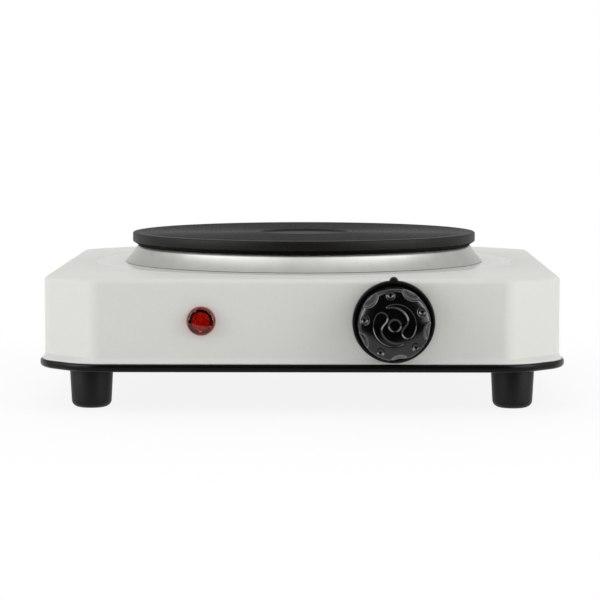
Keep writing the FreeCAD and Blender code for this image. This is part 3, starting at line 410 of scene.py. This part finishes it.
plate_r = plate_high.x / mm
plate_z = plate_high.z / mm
under_z = plate_low.z / mm
shoulder_z = head_z
dish_r, dish_depth = 21.0, 1.0
dish_form = ((-1.7, 1.0), (-1.2, 0.9), (-0.3, 0.12), (0.1, 0.0))
groove_pitch, groove_half, groove_depth, rim_margin = 2.15, 0.65, 0.45, 3.2
groove_form = ((-1, 0), (-0.55, 0.62), (0, 1), (0.55, 0.62), (1, 0))
rim_round, rim_side, rim_foot, rim_draft, chamfer_r, chamfer_up = 0.6, 3.7, 4.1, 0.15, 75.2, 0.45
shoulder_r, skirt_r, channel_r, channel_deep = 75.0, 73.5, 67.0, 8.2
boss_r, stud_hole, stud_deep = 20.0, 3.05, 9.0
profile = [(0, plate_z - dish_depth), (dish_r / 2, plate_z - dish_depth)]
profile += [(dish_r + out, plate_z - share * dish_depth) for out, share in dish_form]
groove = dish_r + groove_pitch
while groove < plate_r - rim_margin:
    profile += [(groove + out * groove_half, plate_z - share * groove_depth) for out, share in groove_form]
    groove += groove_pitch
rim_r, rim_z = plate_r - rim_round, plate_z - rim_round
profile += [(rim_r + rim_round * sine, rim_z + rim_round * cosine) for sine, cosine in quarter(4)]
profile += [(plate_r, plate_z - rim_side), (plate_r - rim_draft, plate_z - rim_foot)]
profile += [(chamfer_r, shoulder_z + chamfer_up), (shoulder_r, shoulder_z), (skirt_r, shoulder_z)]
profile += [(skirt_r, under_z), (channel_r, under_z), (channel_r, under_z + channel_deep)]
profile += [(boss_r, under_z + channel_deep), (boss_r, under_z), (stud_hole, under_z)]
profile += [(stud_hole, under_z + stud_deep), (0, under_z + stud_deep)]
bm = lathe(scaled(profile), steps=200, closed=False)
# Faces below the rim's foot take the second finish, a darker, duller iron: painted shade under the rim.
for f in bm.faces:
    if f.calc_center_median().z < (plate_z - rim_foot) * mm:
        f.material_index = 1
bmesh.ops.translate(bm, verts=bm.verts, vec=(axis.x, axis.y, 0))
# Painted shade: near black and barely reflecting, standing in for the shade under the plate's rim.
painted_shade_iron = surface("painted_shade_iron", (0.0020, 0.0017, 0.0013), 0.70, grain=900.0, tint=0.40, spread=0.10,
                   relief=0.30, sockets={"Specular IOR Level": 0.05})
cast_iron = surface("cast_iron", (0.0062, 0.0060, 0.0052), 0.46, grain=1500.0, tint=0.30, spread=0.10,
                    relief=0.25, sockets={"Specular IOR Level": 0.17})
turning_marks(cast_iron, 0.3 * mm, 0.35)
plate = piece("grooved_plate", bm, cast_iron, painted_shade_iron, crease=50.0)
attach(plate, "appliance")
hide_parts("hot_plate")


# Heater. A coiled resistance wire lies between two pressed rings of magnesia in the plate's channel. A steel
# cover closes it from below, and two terminals come down through ceramic bushings.
resistance_wire = surface("resistance_wire", (0.36, 0.34, 0.32), 0.45, metal=1.0, grain=900.0, tint=0.15)
magnesia = surface("magnesia", (0.76, 0.74, 0.69), 0.92, grain=700.0, tint=0.06, relief=0.30)
ceramic = surface("ceramic", (0.82, 0.79, 0.72), 0.55, grain=500.0, tint=0.04, relief=0.12)
dress(resistance_wire, "heating_coil")
dress(magnesia, "magnesia_bed", "magnesia_cap")
dress(zinc_steel, "heater_cover", "terminal_pins")
dress(ceramic, "terminal_bushings")


# Clamp. A stud in the plate's boss draws the plate down on the ring: its nut pulls against a bent steel
# bridge that bears on the underside of the housing.
dress(zinc_steel, "clamp_bridge", "centre_stud", "stud_washer", "stud_nuts")


# Thermostat. A steel bracket behind the front wall carries a brass bush for the spindle and a riveted stack
# of contact blades. A ceramic bead on the spindle's tip presses the first blade. A bimetal strip opens it.
brass = surface("brass", (0.72, 0.52, 0.22), 0.30, metal=1.0, grain=400.0, tint=0.08, spread=0.08)
dress(zinc_steel, "thermostat_bracket", "spindle", "stack_rivet", "bimetal_strip", "thermostat_screws")
dress(brass, "spindle_bush", "contact_blade", "fixed_contact")
dress(ceramic, "pusher_bead", "stack_insulators", "transfer_pin")


# Dial ring. A black moulding is held on the front wall by the two thermostat screws. The knob sits in its
# cup, and a rounded nub at the top of its rim is the index for the setting.
dial_low, dial_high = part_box("dial_ring")
dial_r = (dial_high.x - dial_low.x) / 2 / mm
dial_rim = (dial_high.y - dial_low.y) / mm
dial_wall, dial_floor, bush_bore, bevel_up, bevel_in = 1.3, 1.6, 5.3, 1.3, 2.2
nub_half, nub_reach, nub_root, nub_foot, nub_fullness = 1.8, 1.45, 0.6, 0.3, 0.6
dial_edge = 0.42
profile = [(bush_bore, 0), (dial_r - bevel_in, 0), (dial_r, bevel_up), (dial_r, dial_rim)]
profile += [(dial_r - dial_wall, dial_rim), (dial_r - dial_wall, dial_floor), (bush_bore, dial_floor)]
bm = lathe(scaled(profile), steps=480)
soften(bm, dial_edge * mm, 4)
for v in bm.verts:
    reach = math.hypot(v.co.x, v.co.y)
    aside = math.atan2(v.co.x, v.co.y) * dial_r / nub_half
    if reach > (dial_r - nub_root) * mm and v.co.z > (bevel_up - nub_foot) * mm and abs(aside) < 1:
        grow = nub_reach * mm * (1 - aside ** 2) ** nub_fullness
        v.co.xy *= (reach + grow * min((reach / mm - dial_r + nub_root) / nub_root, 1)) / reach
bmesh.ops.transform(bm, verts=bm.verts, matrix=panel_place(knob_at))
dial_black = surface("dial_black", (0.008, 0.008, 0.0068), 0.34, grain=1600.0, tint=0.2, spread=0.06,
                     relief=0.03, sockets={"Specular IOR Level": 0.3})
dial = piece("index_ring", bm, dial_black)
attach(dial, "appliance")
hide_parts("dial_ring")


# Control knob. A black thermoset moulding, domed and polished, with five finger flutes round its edge, a
# dimple between each two, a sunk eye in the middle and two sunk commas round that. It is pressed on the
# spindle's flat.
knob_low, knob_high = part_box("control_knob")
knob_back = (knob_at.y - knob_high.y) / mm
knob_top = (knob_at.y - knob_low.y) / mm
knob_r, edge_r, dome_rise, marks, mark_turn = 15.25, 14.65, 2.6, 5, 98.2
mark_ring, mark_depth, mark_ball, mark_edge = 12.45, 1.0, 2.03, 0.2
flute_r, flute_depth, flute_rise, flute_scoop = 6.0, 1.9, 11.0, 1.6
eye_r, eye_floor, eye_depth, eye_edge = 3.05, 1.8, 0.43, 0.15
comma_r, comma_depth, comma_edge, comma_rounding = 9.0, 0.42, 0.5, 4
dome_power, no_flute = 2.0, 99.0


def dome_z(r):
    """Height of the domed face at a radius. The rim of the eye is its foremost line."""
    fall = (np.minimum(r, edge_r) / edge_r) ** dome_power - (eye_r / edge_r) ** dome_power
    return knob_top - dome_rise * fall


face_z = float(dome_z(edge_r))


def smooth(low, high, value):
    """A share that goes smoothly from 0 to 1 while a value goes from low to high."""
    t = np.clip((value - low) / (high - low), 0, 1)
    return t * t * (3 - 2 * t)


def arc(first, middle, last, count):
    """Points on the arc through three points, given as complex numbers, without the last one."""
    w = (last - first) / (middle - first)
    centre = first + (middle - first) * (w - abs(w) ** 2) / (2j * w.imag)
    sweep = np.angle((last - centre) / (first - centre))
    if (np.angle((middle - centre) / (first - centre)) / sweep) < 0:
        sweep -= math.copysign(math.tau, sweep)
    return [centre + (first - centre) * np.exp(1j * sweep * i / count) for i in range(count)]


def depth_inside(spots, outline):
    """How far each spot lies inside a closed outline, negative outside. All are complex numbers."""
    start = outline
    run = np.roll(start, -1) - start
    share = np.clip((np.conj(run) * (spots[:, None] - start)).real / np.abs(run) ** 2, 0, 1)
    gap = np.abs(spots[:, None] - start - share * run).min(axis=1)
    turns = np.angle((np.roll(start, -1) - spots[:, None]) / (start - spots[:, None])).sum(axis=1)
    return np.where(np.abs(turns) > math.pi, gap, -gap)


def comma(turn):
    """Outline of one comma: its outer edge follows the knob's rim, and its head bends inward."""
    def spot(share, degrees):
        return comma_r * share * np.exp(1j * math.radians(degrees + turn))

    tail, heel, hip = spot(0.96, 115), spot(0.97, -25), spot(0.42, -12)
    neck, barb = spot(0.66, 24), spot(0.85, 112)
    outline = arc(tail, spot(1, 40), heel, 28) + arc(heel, spot(0.66, -54), hip, 16)
    outline += arc(hip, spot(0.55, 6), neck, 6) + arc(neck, spot(0.73, 60), barb, 16)
    outline = np.array(outline + arc(barb, spot(0.91, 116.5), tail, 5))
    for _ in range(comma_rounding):
        outline = (np.roll(outline, 1) + 2 * outline + np.roll(outline, -1)) / 4
    return outline


def flute_limit(angle, z):
    """Radius at which the nearest flute cuts the knob, at an angle and a height."""
    step = math.tau / marks
    first = math.radians(mark_turn) + step / 2
    off = (angle - first + step / 2) % step - step / 2
    climb = np.clip(1 - (face_z - z) / flute_rise, 0, 2)
    centre = knob_r - (knob_r - edge_r + flute_depth) * climb ** flute_scoop + flute_r
    inside = flute_r ** 2 - (centre * np.sin(off)) ** 2
    return np.where(inside > 0, centre * np.cos(off) - np.sqrt(np.maximum(inside, 0)), no_flute)


def blunt_min(a, b, width=0.35):
    """The smaller of two values, with a rounded change from one to the other."""
    h = np.clip(0.5 + 0.5 * (b - a) / width, 0, 1)
    return b + (a - b) * h - width * h * (1 - h)


edge_drop, edge_lead, edge_steps, face_thickness, back_edge = 1.5, 1.3, 12, 2.6, 0.3
side_top, roof_z, lead_in = face_z - edge_drop, face_z - face_thickness, edge_r - edge_lead
wall_in, wall_draft, hub_r, bore_r, bore_top = 11.6, 1.4, 5.2, 3.05, 14.8
profile = [(0, bore_top), (bore_r, bore_top), (bore_r, knob_back), (hub_r, knob_back), (hub_r, roof_z)]
profile += [(wall_in - wall_draft, roof_z), (wall_in, knob_back)]
profile += [(knob_r - back_edge, knob_back), (knob_r, knob_back + back_edge)]
side_steps = 16
for i in range(1, side_steps + 1):
    t = i / side_steps
    up = knob_back + back_edge + (side_top - knob_back - back_edge) * t
    profile.append((knob_r + (edge_r - knob_r) * t, up))
for i in range(1, edge_steps):
    t = i / edge_steps
    a, b = (1 - t) ** 2, t ** 2
    profile.append((a * edge_r + 2 * t * (1 - t) * edge_r + b * lead_in,
                    a * side_top + 2 * t * (1 - t) * face_z + b * float(dome_z(lead_in))))
rings = 92
profile += [(lead_in * (1 - i / rings), float(dome_z(lead_in * (1 - i / rings)))) for i in range(rings + 1)]
bm = lathe(scaled(profile), steps=360, closed=False)

draw_margin, comma_margin, wall_margin, blend_start, hair_width = 0.2, 1.0, 0.4, 0.75, 0.001
co = np.array([v.co for v in bm.verts]) / mm
r = np.hypot(co[:, 0], co[:, 1])
angle = np.arctan2(co[:, 1], co[:, 0])
z = co[:, 2]
limit = np.full_like(r, edge_r)
for _ in range(6):
    limit = blunt_min(edge_r, flute_limit(angle, dome_z(limit)))
lift = dome_z(limit) - face_z
upper = z > side_top - hair_width
drawn = r - (edge_r - limit) * smooth(comma_r + draw_margin, edge_r, r)
climb = np.clip((z - knob_back) / (side_top - knob_back), 0, 1)
raised = z + lift * climb
cut = blunt_min(r, flute_limit(angle, raised))
cut += (r - (edge_r - limit) - cut) * smooth(blend_start, 1.0, climb)
outside = (r > wall_in + wall_margin) & ~upper
new_r = np.where(upper, drawn, np.where(outside, cut, r))
new_z = np.where(upper, z + dome_z(drawn) - dome_z(r), np.where(outside, raised, z))
spots = new_r * np.exp(1j * angle)
sunk = np.zeros_like(r)
inner = upper & (new_r < comma_r + comma_margin)
for turn in (0, 180):
    near = np.zeros_like(r)
    near[inner] = smooth(-comma_edge / 2, comma_edge, depth_inside(spots[inner], comma(turn)))
    sunk += comma_depth * near
eye = smooth(eye_r + eye_edge, eye_floor, new_r)
new_z = np.where(upper, new_z - sunk * (1 - eye), new_z)
new_z = np.where(upper, new_z + (knob_top - eye_depth - new_z) * eye, new_z)
mark_floor = float(dome_z(mark_ring)) - mark_depth
for i in range(marks):
    mark = mark_ring * np.exp(1j * math.radians(mark_turn + 360 / marks * i))
    away = np.abs(spots - mark)
    ball_z = mark_floor + mark_ball - np.sqrt(np.maximum(mark_ball ** 2 - away ** 2, 0))
    new_z = np.where(upper & (away < mark_ball), blunt_min(new_z, ball_z, mark_edge), new_z)
for v, reach, height, turn in zip(bm.verts, new_r, new_z, angle):
    v.co = (reach * mm * math.cos(turn), reach * mm * math.sin(turn), height * mm)
bmesh.ops.transform(bm, verts=bm.verts, matrix=panel_place(knob_at))
black_gloss = surface("black_gloss", (0.0016, 0.0016, 0.0012), 0.13, grain=1200.0, tint=0.2, spread=0.04,
                      relief=0.008, sockets={"Specular IOR Level": 0.6})
knob = piece("fluted_knob", bm, black_gloss, crease=60.0)
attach(knob, "knob")
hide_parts("control_knob")


# Pilot lamp. A neon bulb sits in the barrel of a clear red lens, which is pushed into the front wall and
# held by a spring nut. The lens has a thin flange, a slightly domed front and a pressed field of small
# pyramids behind it to scatter the light.
lens_r = (lens_high.x - lens_low.x) / 2 / mm
lens_out = (lamp_at.y - lens_low.y) / mm
barrel_end = (lamp_at.y - lens_high.y) / mm
front_r, dome_r, side_r, flange_up, barrel_r, bore_r, roof = 4.95, 19.0, 5.4, 0.95, 4.9, 3.8, 1.6
shoulder_drop, shoulder_lean, flange_seat, flange_start = 0.75, 0.1, 0.05, 0.1
flange_root = ((0.05, 0.25), (0.25, 0.0))
flange_form = ((-0.3, -0.05), (-0.08, -0.2), (0.0, -0.4))
front_steps = 12
profile = []
for i in range(front_steps + 1):
    r = front_r * i / front_steps
    profile.append((r, lens_out - dome_r + math.sqrt(dome_r ** 2 - r ** 2)))
front_z = profile[-1][1]
for sine, cosine in quarter(5)[1:]:
    drop = shoulder_drop * (1 - cosine) + shoulder_lean * sine
    profile.append((front_r + (side_r - front_r) * sine, front_z - drop))
profile += [(side_r + out, flange_up + up) for out, up in flange_root]
profile += [(lens_r + out, flange_up + up) for out, up in flange_form]
profile += [(lens_r, flange_seat), (barrel_r, flange_seat), (barrel_r, barrel_end), (bore_r, barrel_end)]
profile += [(bore_r, roof), (0, roof)]
bm = lathe(scaled(profile), steps=72, closed=False)
for f in bm.faces:
    middle = f.calc_center_median()
    if middle.xy.length > (front_r + flange_start) * mm and middle.z > 0:
        f.material_index = 1
bmesh.ops.transform(bm, verts=bm.verts, matrix=panel_place(lamp_at))
clear = {"Transmission Weight": 1.0, "IOR": 1.49, "Specular IOR Level": 0.2}
red_lens = surface("red_lens", (0.64, 0.06, 0.03), 0.05, grain=300.0, tint=0.05, spread=0.02, relief=0.004,
                   sockets=clear)
red_flange = surface("red_flange", (0.98, 0.20, 0.15), 0.08, grain=300.0, tint=0.05, spread=0.02,
                     relief=0.004, sockets=clear)
lens = piece("red_lens", bm, red_lens, red_flange)
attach(lens, "appliance")
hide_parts("lamp_lens")

field_r, field_sides, field_turn, field_gap, field_sheet = 3.7, 24, 22, 0.05, 0.2
pyramid_pitch, pyramid_count, pyramid_height = 0.8, 10, 0.4
bm = bmesh.new()
bmesh.ops.create_grid(bm, x_segments=pyramid_count, y_segments=pyramid_count,
                      size=pyramid_count * pyramid_pitch * mm / 2)
bmesh.ops.poke(bm, faces=bm.faces, offset=pyramid_height * mm)
bmesh.ops.rotate(bm, verts=bm.verts, matrix=Matrix.Rotation(math.radians(field_turn), 3, "Z"))
for i in range(field_sides):
    out = Vector((math.cos(math.tau * i / field_sides), math.sin(math.tau * i / field_sides), 0.0))
    bmesh.ops.bisect_plane(bm, geom=bm.verts[:] + bm.edges[:] + bm.faces[:], plane_co=out * field_r * mm,
                           plane_no=out, clear_outer=True)
bmesh.ops.solidify(bm, geom=bm.faces[:], thickness=field_sheet * mm)
field_at = lamp_at + Vector((0, -(roof + field_gap) * mm, 0))
bmesh.ops.transform(bm, verts=bm.verts, matrix=panel_place(field_at))
red_field = surface("red_facets", (0.60, 0.075, 0.026), 0.25, grain=1100.0, tint=0.45)
facets = piece("lens_facets", bm, red_field, crease=5.0)
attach(facets, "appliance")

bulb_glass = surface("bulb_glass", (0.85, 0.72, 0.60), 0.05, grain=300.0, tint=0.03,
                     sockets={"Transmission Weight": 0.8, "IOR": 1.5})
white_plastic = surface("white_plastic", (0.80, 0.79, 0.74), 0.50, grain=800.0, tint=0.03, relief=0.06)
dress(bulb_glass, "neon_bulb")
dress(white_plastic, "lamp_plug")
dress(zinc_steel, "lamp_push_nut")


# Wiring. The supply ends in a terminal block on the base pan, with brass sleeves and clamp screws, and in an
# earth lug. Heat-proof leads run from there to the thermostat, the plate and the lamp.
dress(white_plastic, "terminal_block")
dress(brass, "terminal_sleeves", "earth_lug")
dress(zinc_steel, "clamp_screws", "block_screws", "earth_screw")
white_leads = ["switched_lead", "lamp_lead_inner", "lamp_lead_outer"]
for slot, colour, names in (("brown_lead", (0.16, 0.07, 0.03), ["line_lead"]),
                            ("blue_lead", (0.03, 0.11, 0.38), ["neutral_lead"]),
                            ("green_lead", (0.10, 0.36, 0.06), ["earth_lead"]),
                            ("white_lead", (0.74, 0.72, 0.66), white_leads)):
    dress(surface(slot, colour, 0.45, grain=1500.0, tint=0.06, relief=0.08), *names)


# Base pan. A black enamelled steel tray closes the housing from below. Its edge is rolled into a bead that
# the housing's lip stands on, and slots under the heater let air in.
pan_low, pan_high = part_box("base_pan")
pan_sheet = 0.8 * mm
bead_out = pan_high.x - wall_half
bead_in = 0.5 * mm
bead_zone = 3 * mm
bead_bends = ((pan_low.z, 0, bead_zone, 1.6 * mm, 7),
              (pan_high.z, 0, bead_zone, 0.9 * mm, 5),
              (pan_high.z, -bead_zone, 0, 0.3 * mm, 3))
floor_sides = 40
vent_count, vent_first, vent_pitch, vent_width, vent_length = 4, 24.0 * mm, 12.0 * mm, 4.0 * mm, 60.0 * mm
feet = ["foot_front_left", "foot_rear_left", "foot_front_right", "foot_rear_right"]
foot_at = [(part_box(name)[0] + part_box(name)[1]) / 2 for name in feet]
block_low, block_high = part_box("block_screws")
earth_low, earth_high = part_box("earth_screw")
earth_at = (earth_low + earth_high) / 2
screw_hole, block_hole, block_inset = 2.05 * mm, 1.55 * mm, 2.25 * mm
bm = bmesh.new()
face = cut_corner_face(bm, bead_out, pan_low.z, lip_radius + bead_out, lip_cut)
raise_face(bm, face, 0.0, pan_high.z - pan_low.z)
raise_face(bm, face, bead_out + bead_in, 0.0)
raise_face(bm, face, 0.0, pan_low.z + pan_sheet - pan_high.z)
raise_face(bm, face, flat_margin, 0.0)
bmesh.ops.edgenet_fill(bm, edges=[e for e in bm.edges if e.is_boundary])
bmesh.ops.recalc_face_normals(bm, faces=bm.faces)
for z, inner, outer, width, steps in bead_bends:
    round_edges(bm, edges_at(bm, z, inner, outer, lip_cut), width, steps)
floors = [f for f in bm.faces if len(f.verts) > floor_sides]
under = min(floors, key=lambda f: f.calc_center_median().z)
tray = max(floors, key=lambda f: f.calc_center_median().z)
raise_face(bm, under, flat_margin, 0.0)
holes = [(side * (vent_first + i * vent_pitch), axis.y, vent_width / 2, vent_length / 2 - vent_width / 2)
         for side in (-1, 1) for i in range(vent_count)]
holes += [(spot.x, spot.y, screw_hole, 0.0) for spot in foot_at]
holes += [(earth_at.x, earth_at.y, screw_hole, 0.0)]
holes += [(x, (block_low.y + block_high.y) / 2, block_hole, 0.0)
          for x in (block_low.x + block_inset, block_high.x - block_inset)]
inside_rings, outside_rings = [], []
for x, y, radius, run in holes:
    for rings_here, z in ((inside_rings, pan_low.z + pan_sheet), (outside_rings, pan_low.z)):
        rings_here.append(ring_of_edges(bm, Matrix.Translation((x, y, z)), radius, 20, run))
pierce(bm, tray, inside_rings)
pierce(bm, under, outside_rings)
for low, high in zip(outside_rings, inside_rings):
    bmesh.ops.bridge_loops(bm, edges=low + high)
bmesh.ops.recalc_face_normals(bm, faces=bm.faces)
black_enamel = surface("black_enamel", (0.003, 0.003, 0.0026), 0.22, grain=900.0, tint=0.15, spread=0.05,
                       relief=0.02, sockets={"Specular IOR Level": 0.15})
pan = piece("black_pan", bm, black_enamel)
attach(pan, "appliance")
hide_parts("base_pan")


# Feet. Four black moulded feet taper towards the table. Each has a deep socket below for the head of its
# screw, which goes up through the pan into the corner bracket.
foot_h, foot_top, foot_low, socket_r, web, hole_r = foot_at[0].z * 2 / mm, 9.1, 8.4, 4.5, 7.0, 2.05
foot_round, foot_rise, top_edge, socket_edge, moulded_edge = 3.4, 3.0, 0.4, 0.2, 0.25
black_plastic = surface("black_plastic", (0.006, 0.0064, 0.006), 0.42, grain=1800.0, tint=0.12, spread=0.08,
                        relief=0.10, sockets={"Specular IOR Level": 0.2})
for name, spot in zip(feet, foot_at):
    profile = [(socket_r, 0)]
    for sine, cosine in quarter(8):
        profile.append((foot_low - foot_round + foot_round * sine, foot_rise - foot_rise * cosine))
    profile += [(foot_top, foot_h - top_edge), (foot_top - top_edge, foot_h), (hole_r, foot_h)]
    profile += [(hole_r, foot_h - web), (socket_r - socket_edge, foot_h - web)]
    profile += [(socket_r, foot_h - web - socket_edge)]
    bm = lathe(scaled(profile), steps=72)
    soften(bm, moulded_edge * mm, 3)
    bmesh.ops.translate(bm, verts=bm.verts, vec=(spot.x, spot.y, 0))
    foot = piece("moulded_" + name, bm, black_plastic)
    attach(foot, "appliance")
    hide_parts(name)


# Foot screws. Four zinc-plated pan-head screws with a cross recess are seated at the top of the feet's
# sockets. They go up through the pan into the corner brackets.
head_r, head_h, head_flat, head_side, shank_r = 3.7, 2.6, 2.4, 0.25, 2.0
head_seat = foot_h - web
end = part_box("foot_screws")[1].z / mm
recess_r, recess_half, recess_depth, recess_taper = 2.1, 0.42, 1.3, 0.55
bm = bmesh.new()
for spot in foot_at:
    profile = [(head_flat, head_seat - head_h)]
    for sine, cosine in quarter(6)[1:]:
        up = head_seat - head_h * (head_side + (1 - head_side) * cosine)
        profile.append((head_flat + (head_r - head_flat) * sine, up))
    profile += [(head_r, head_seat), (shank_r, head_seat), (shank_r, end - shank_r)]
    profile += [(shank_r / 2, end), (0, end)]
    one = lathe(scaled(profile), steps=40, closed=False)
    brim = [e for e in one.edges if e.is_boundary]
    arm = []
    for way in range(4):
        for x, y in ((recess_half, -recess_half), (recess_r, -recess_half), (recess_r, recess_half)):
            arm.append(Matrix.Rotation(way * math.pi / 2, 3, "Z") @ Vector((x, y, 0)) * mm)
    verts = [one.verts.new((p.x, p.y, (head_seat - head_h) * mm)) for p in arm]
    cross = [one.edges.new((a, b)) for a, b in zip(verts, verts[1:] + verts[:1])]
    bmesh.ops.triangle_fill(one, use_beauty=True, edges=brim + cross, normal=(0, 0, -1))
    sunk = bmesh.ops.extrude_edge_only(one, edges=cross)["geom"]
    floor = [v for v in sunk if isinstance(v, bmesh.types.BMVert)]
    bmesh.ops.scale(one, verts=floor, vec=(recess_taper, recess_taper, 1.0))
    bmesh.ops.translate(one, verts=floor, vec=(0, 0, recess_depth * mm))
    bmesh.ops.edgenet_fill(one, edges=[e for e in sunk if isinstance(e, bmesh.types.BMEdge)])
    bmesh.ops.recalc_face_normals(one, faces=one.faces)
    bmesh.ops.translate(one, verts=one.verts, vec=(spot.x, spot.y, 0))
    mesh = bpy.data.meshes.new("one_screw")
    one.to_mesh(mesh)
    one.free()
    bm.from_mesh(mesh)
    bpy.data.meshes.remove(mesh)
screws = piece("cross_head_screws", bm, zinc_steel)
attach(screws, "appliance")
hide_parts("foot_screws")


# Studio. A pale table top and a white surround, with soft light from above, behind and both sides. The
# camera stands straight in front, a little above. The room behind it is dim, as the polished faces show.
def light(name, spot, target, size, power, mirrored):
    """A round soft lamp turned to a target, and whether polished faces mirror it."""
    lamp = bpy.data.lights.new(name, "AREA")
    lamp.shape = "DISK"
    lamp.size = size
    lamp.energy = power
    made = bpy.data.objects.new(name, lamp)
    made.location = spot
    made.rotation_euler = (Vector(target) - Vector(spot)).to_track_quat("-Z", "Y").to_euler()
    made.visible_glossy = mirrored
    bpy.context.scene.collection.objects.link(made)


def grey(level):
    """A neutral colour of a level."""
    return (level, level, level, 1.0)


def feed(tree, socket, source):
    """Link a socket to another one, or set it to a plain value."""
    if isinstance(source, bpy.types.NodeSocket):
        tree.links.new(source, socket)
    else:
        socket.default_value = source


def reckon(tree, operation, *sources):
    """The result of a sum on sockets and plain numbers."""
    node = tree.nodes.new("ShaderNodeMath")
    node.operation = operation
    for socket, source in zip(node.inputs, sources):
        feed(tree, socket, source)
    return node.outputs["Value"]


def ease(tree, source, start, end, low, high, curve="SMOOTHSTEP"):
    """A value that goes from one level to another while its source goes from a start to an end."""
    node = tree.nodes.new("ShaderNodeMapRange")
    node.interpolation_type = curve
    names = ("Value", "From Min", "From Max", "To Min", "To Max")
    for name, value in zip(names, (source, start, end, low, high)):
        feed(tree, node.inputs[name], value)
    return node.outputs["Result"]


def glow(tree, kind, colour, strength):
    """A shader that gives out light, of a colour and a strength."""
    node = tree.nodes.new(kind)
    feed(tree, node.inputs["Color"], colour)
    feed(tree, node.inputs["Strength"], strength)
    return node.outputs[0]


def blend(tree, share, first, second):
    """Two shaders in one, by the share of the second."""
    node = tree.nodes.new("ShaderNodeMixShader")
    for socket, source in zip(node.inputs, (share, first, second)):
        feed(tree, socket, source)
    return node.outputs["Shader"]


def coordinates(tree, kind):
    """The place of a point, or its direction in the surround, whole and as X, Y and Z."""
    where = tree.nodes.new("ShaderNodeTexCoord").outputs[kind]
    parts = tree.nodes.new("ShaderNodeSeparateXYZ")
    feed(tree, parts.inputs["Vector"], where)
    return where, parts.outputs["X"], parts.outputs["Y"], parts.outputs["Z"]


aim_height = 0.04
middle = (axis.x, axis.y, aim_height)
light("softbox_top", (0.0, 0.1, 1.2), middle, size=1.0, power=1.2, mirrored=False)
light("softbox_back", (0.0, 0.85, 0.85), middle, size=1.0, power=3.0, mirrored=False)
light("softbox_left", (-1.2, -0.4, 0.45), middle, size=1.1, power=6.0, mirrored=True)
light("softbox_right", (1.15, -0.5, 0.45), middle, size=1.1, power=6.0, mirrored=True)

room_dim, room_soft, room_sides, room_lean, room_horizon = 0.007, 0.59, 2.8, 0.7, 0.31
room_stops = ((0.12, 0.54), (0.36, 0.74), (0.54, 1.1))
side_zone, front_zone, front_lean = (0.68, 0.95), (-0.74, -0.63), 0.25
low_zone, behind_zone = (0.10, 0.30), (0.20, 0.60)
world = bpy.data.worlds.new("surround")
bpy.context.scene.world = world
world.use_nodes = True
tree = world.node_tree
_, x, y, z = coordinates(tree, "Generated")
aside = reckon(tree, "ABSOLUTE", x)
lean = reckon(tree, "SUBTRACT", reckon(tree, "MULTIPLY", aside, room_lean), y)
room = tree.nodes.new("ShaderNodeValToRGB")
room.color_ramp.elements.new(0.5)
for stop, (place, level) in zip(room.color_ramp.elements, room_stops):
    stop.position = place
    stop.color = grey(level)
feed(tree, room.inputs["Fac"], lean)
sides = ease(tree, lean, *side_zone, 1.0, room_sides)
front = ease(tree, reckon(tree, "MULTIPLY_ADD", aside, front_lean, y), *front_zone, room_dim, 1.0)
low = ease(tree, z, *low_zone, room_horizon, 0.0)
behind = ease(tree, y, *behind_zone, 0.0, 1.0)
walls = reckon(tree, "MULTIPLY", sides, front)
strength = reckon(tree, "ADD", walls, reckon(tree, "MULTIPLY", low, behind))
soft = tree.nodes["Background"]
soft.inputs["Color"].default_value = grey(room_soft)
path = tree.nodes.new("ShaderNodeLightPath").outputs
seen = glow(tree, "ShaderNodeBackground", room.outputs["Color"], strength)
mirrored = blend(tree, path["Is Glossy Ray"], soft.outputs["Background"], seen)
direct = reckon(tree, "MAXIMUM", path["Is Camera Ray"], path["Is Transmission Ray"])
surround = blend(tree, direct, mirrored, glow(tree, "ShaderNodeBackground", grey(1.0), 1.0))
feed(tree, tree.nodes["World Output"].inputs["Surface"], surround)

table_r = 1.5
shadow_zone, shadow_share, mirrored_white = (0.14, 0.30), 0.88, 0.8
near_zone, near_lean = (-0.195, -0.155), 0.75
table_white = surface("table_white", (0.85, 0.85, 0.85), 0.6)
tree = table_white.node_tree
where, x, y, _ = coordinates(tree, "Object")
reach = tree.nodes.new("ShaderNodeVectorMath")
reach.operation = "LENGTH"
feed(tree, reach.inputs[0], where)
fade = ease(tree, reach.outputs["Value"], *shadow_zone, shadow_share, 1.0, "LINEAR")
path = tree.nodes.new("ShaderNodeLightPath").outputs
direct = reckon(tree, "MAXIMUM", path["Is Camera Ray"], path["Is Transmission Ray"])
shown = reckon(tree, "MULTIPLY", reckon(tree, "MAXIMUM", direct, path["Is Glossy Ray"]), fade)
white_level = ease(tree, path["Is Glossy Ray"], 0.0, 1.0, 1.0, mirrored_white, "LINEAR")
white = glow(tree, "ShaderNodeEmission", grey(1.0), white_level)
plain = blend(tree, shown, tree.nodes["Principled BSDF"].outputs["BSDF"], white)
aside = reckon(tree, "ABSOLUTE", reckon(tree, "SUBTRACT", x, knob_at.x))
near = ease(tree, reckon(tree, "MULTIPLY_ADD", aside, near_lean, y), *near_zone, 1.0, 0.0)
hidden = reckon(tree, "MULTIPLY", path["Is Glossy Ray"], near)
mirrored = blend(tree, hidden, plain, glow(tree, "ShaderNodeEmission", grey(room_dim), 1.0))
feed(tree, tree.nodes["Material Output"].inputs["Surface"], mirrored)
bm = bmesh.new()
bmesh.ops.create_circle(bm, cap_ends=True, segments=96, radius=table_r)
table = piece("table_top", bm, table_white)

camera_drop, camera_swing = 4.85, 0.656
camera = bpy.data.objects.new("camera", bpy.data.cameras.new("camera"))
camera.data.lens = 148.4
camera.data.sensor_width = 36.0
camera.location = (0.01108, -1.1155, 0.1328)
camera.rotation_euler = (math.radians(90 - camera_drop), 0.0, math.radians(camera_swing))
bpy.context.scene.collection.objects.link(camera)
bpy.context.scene.camera = camera
bpy.context.scene.view_settings.view_transform = "Standard"
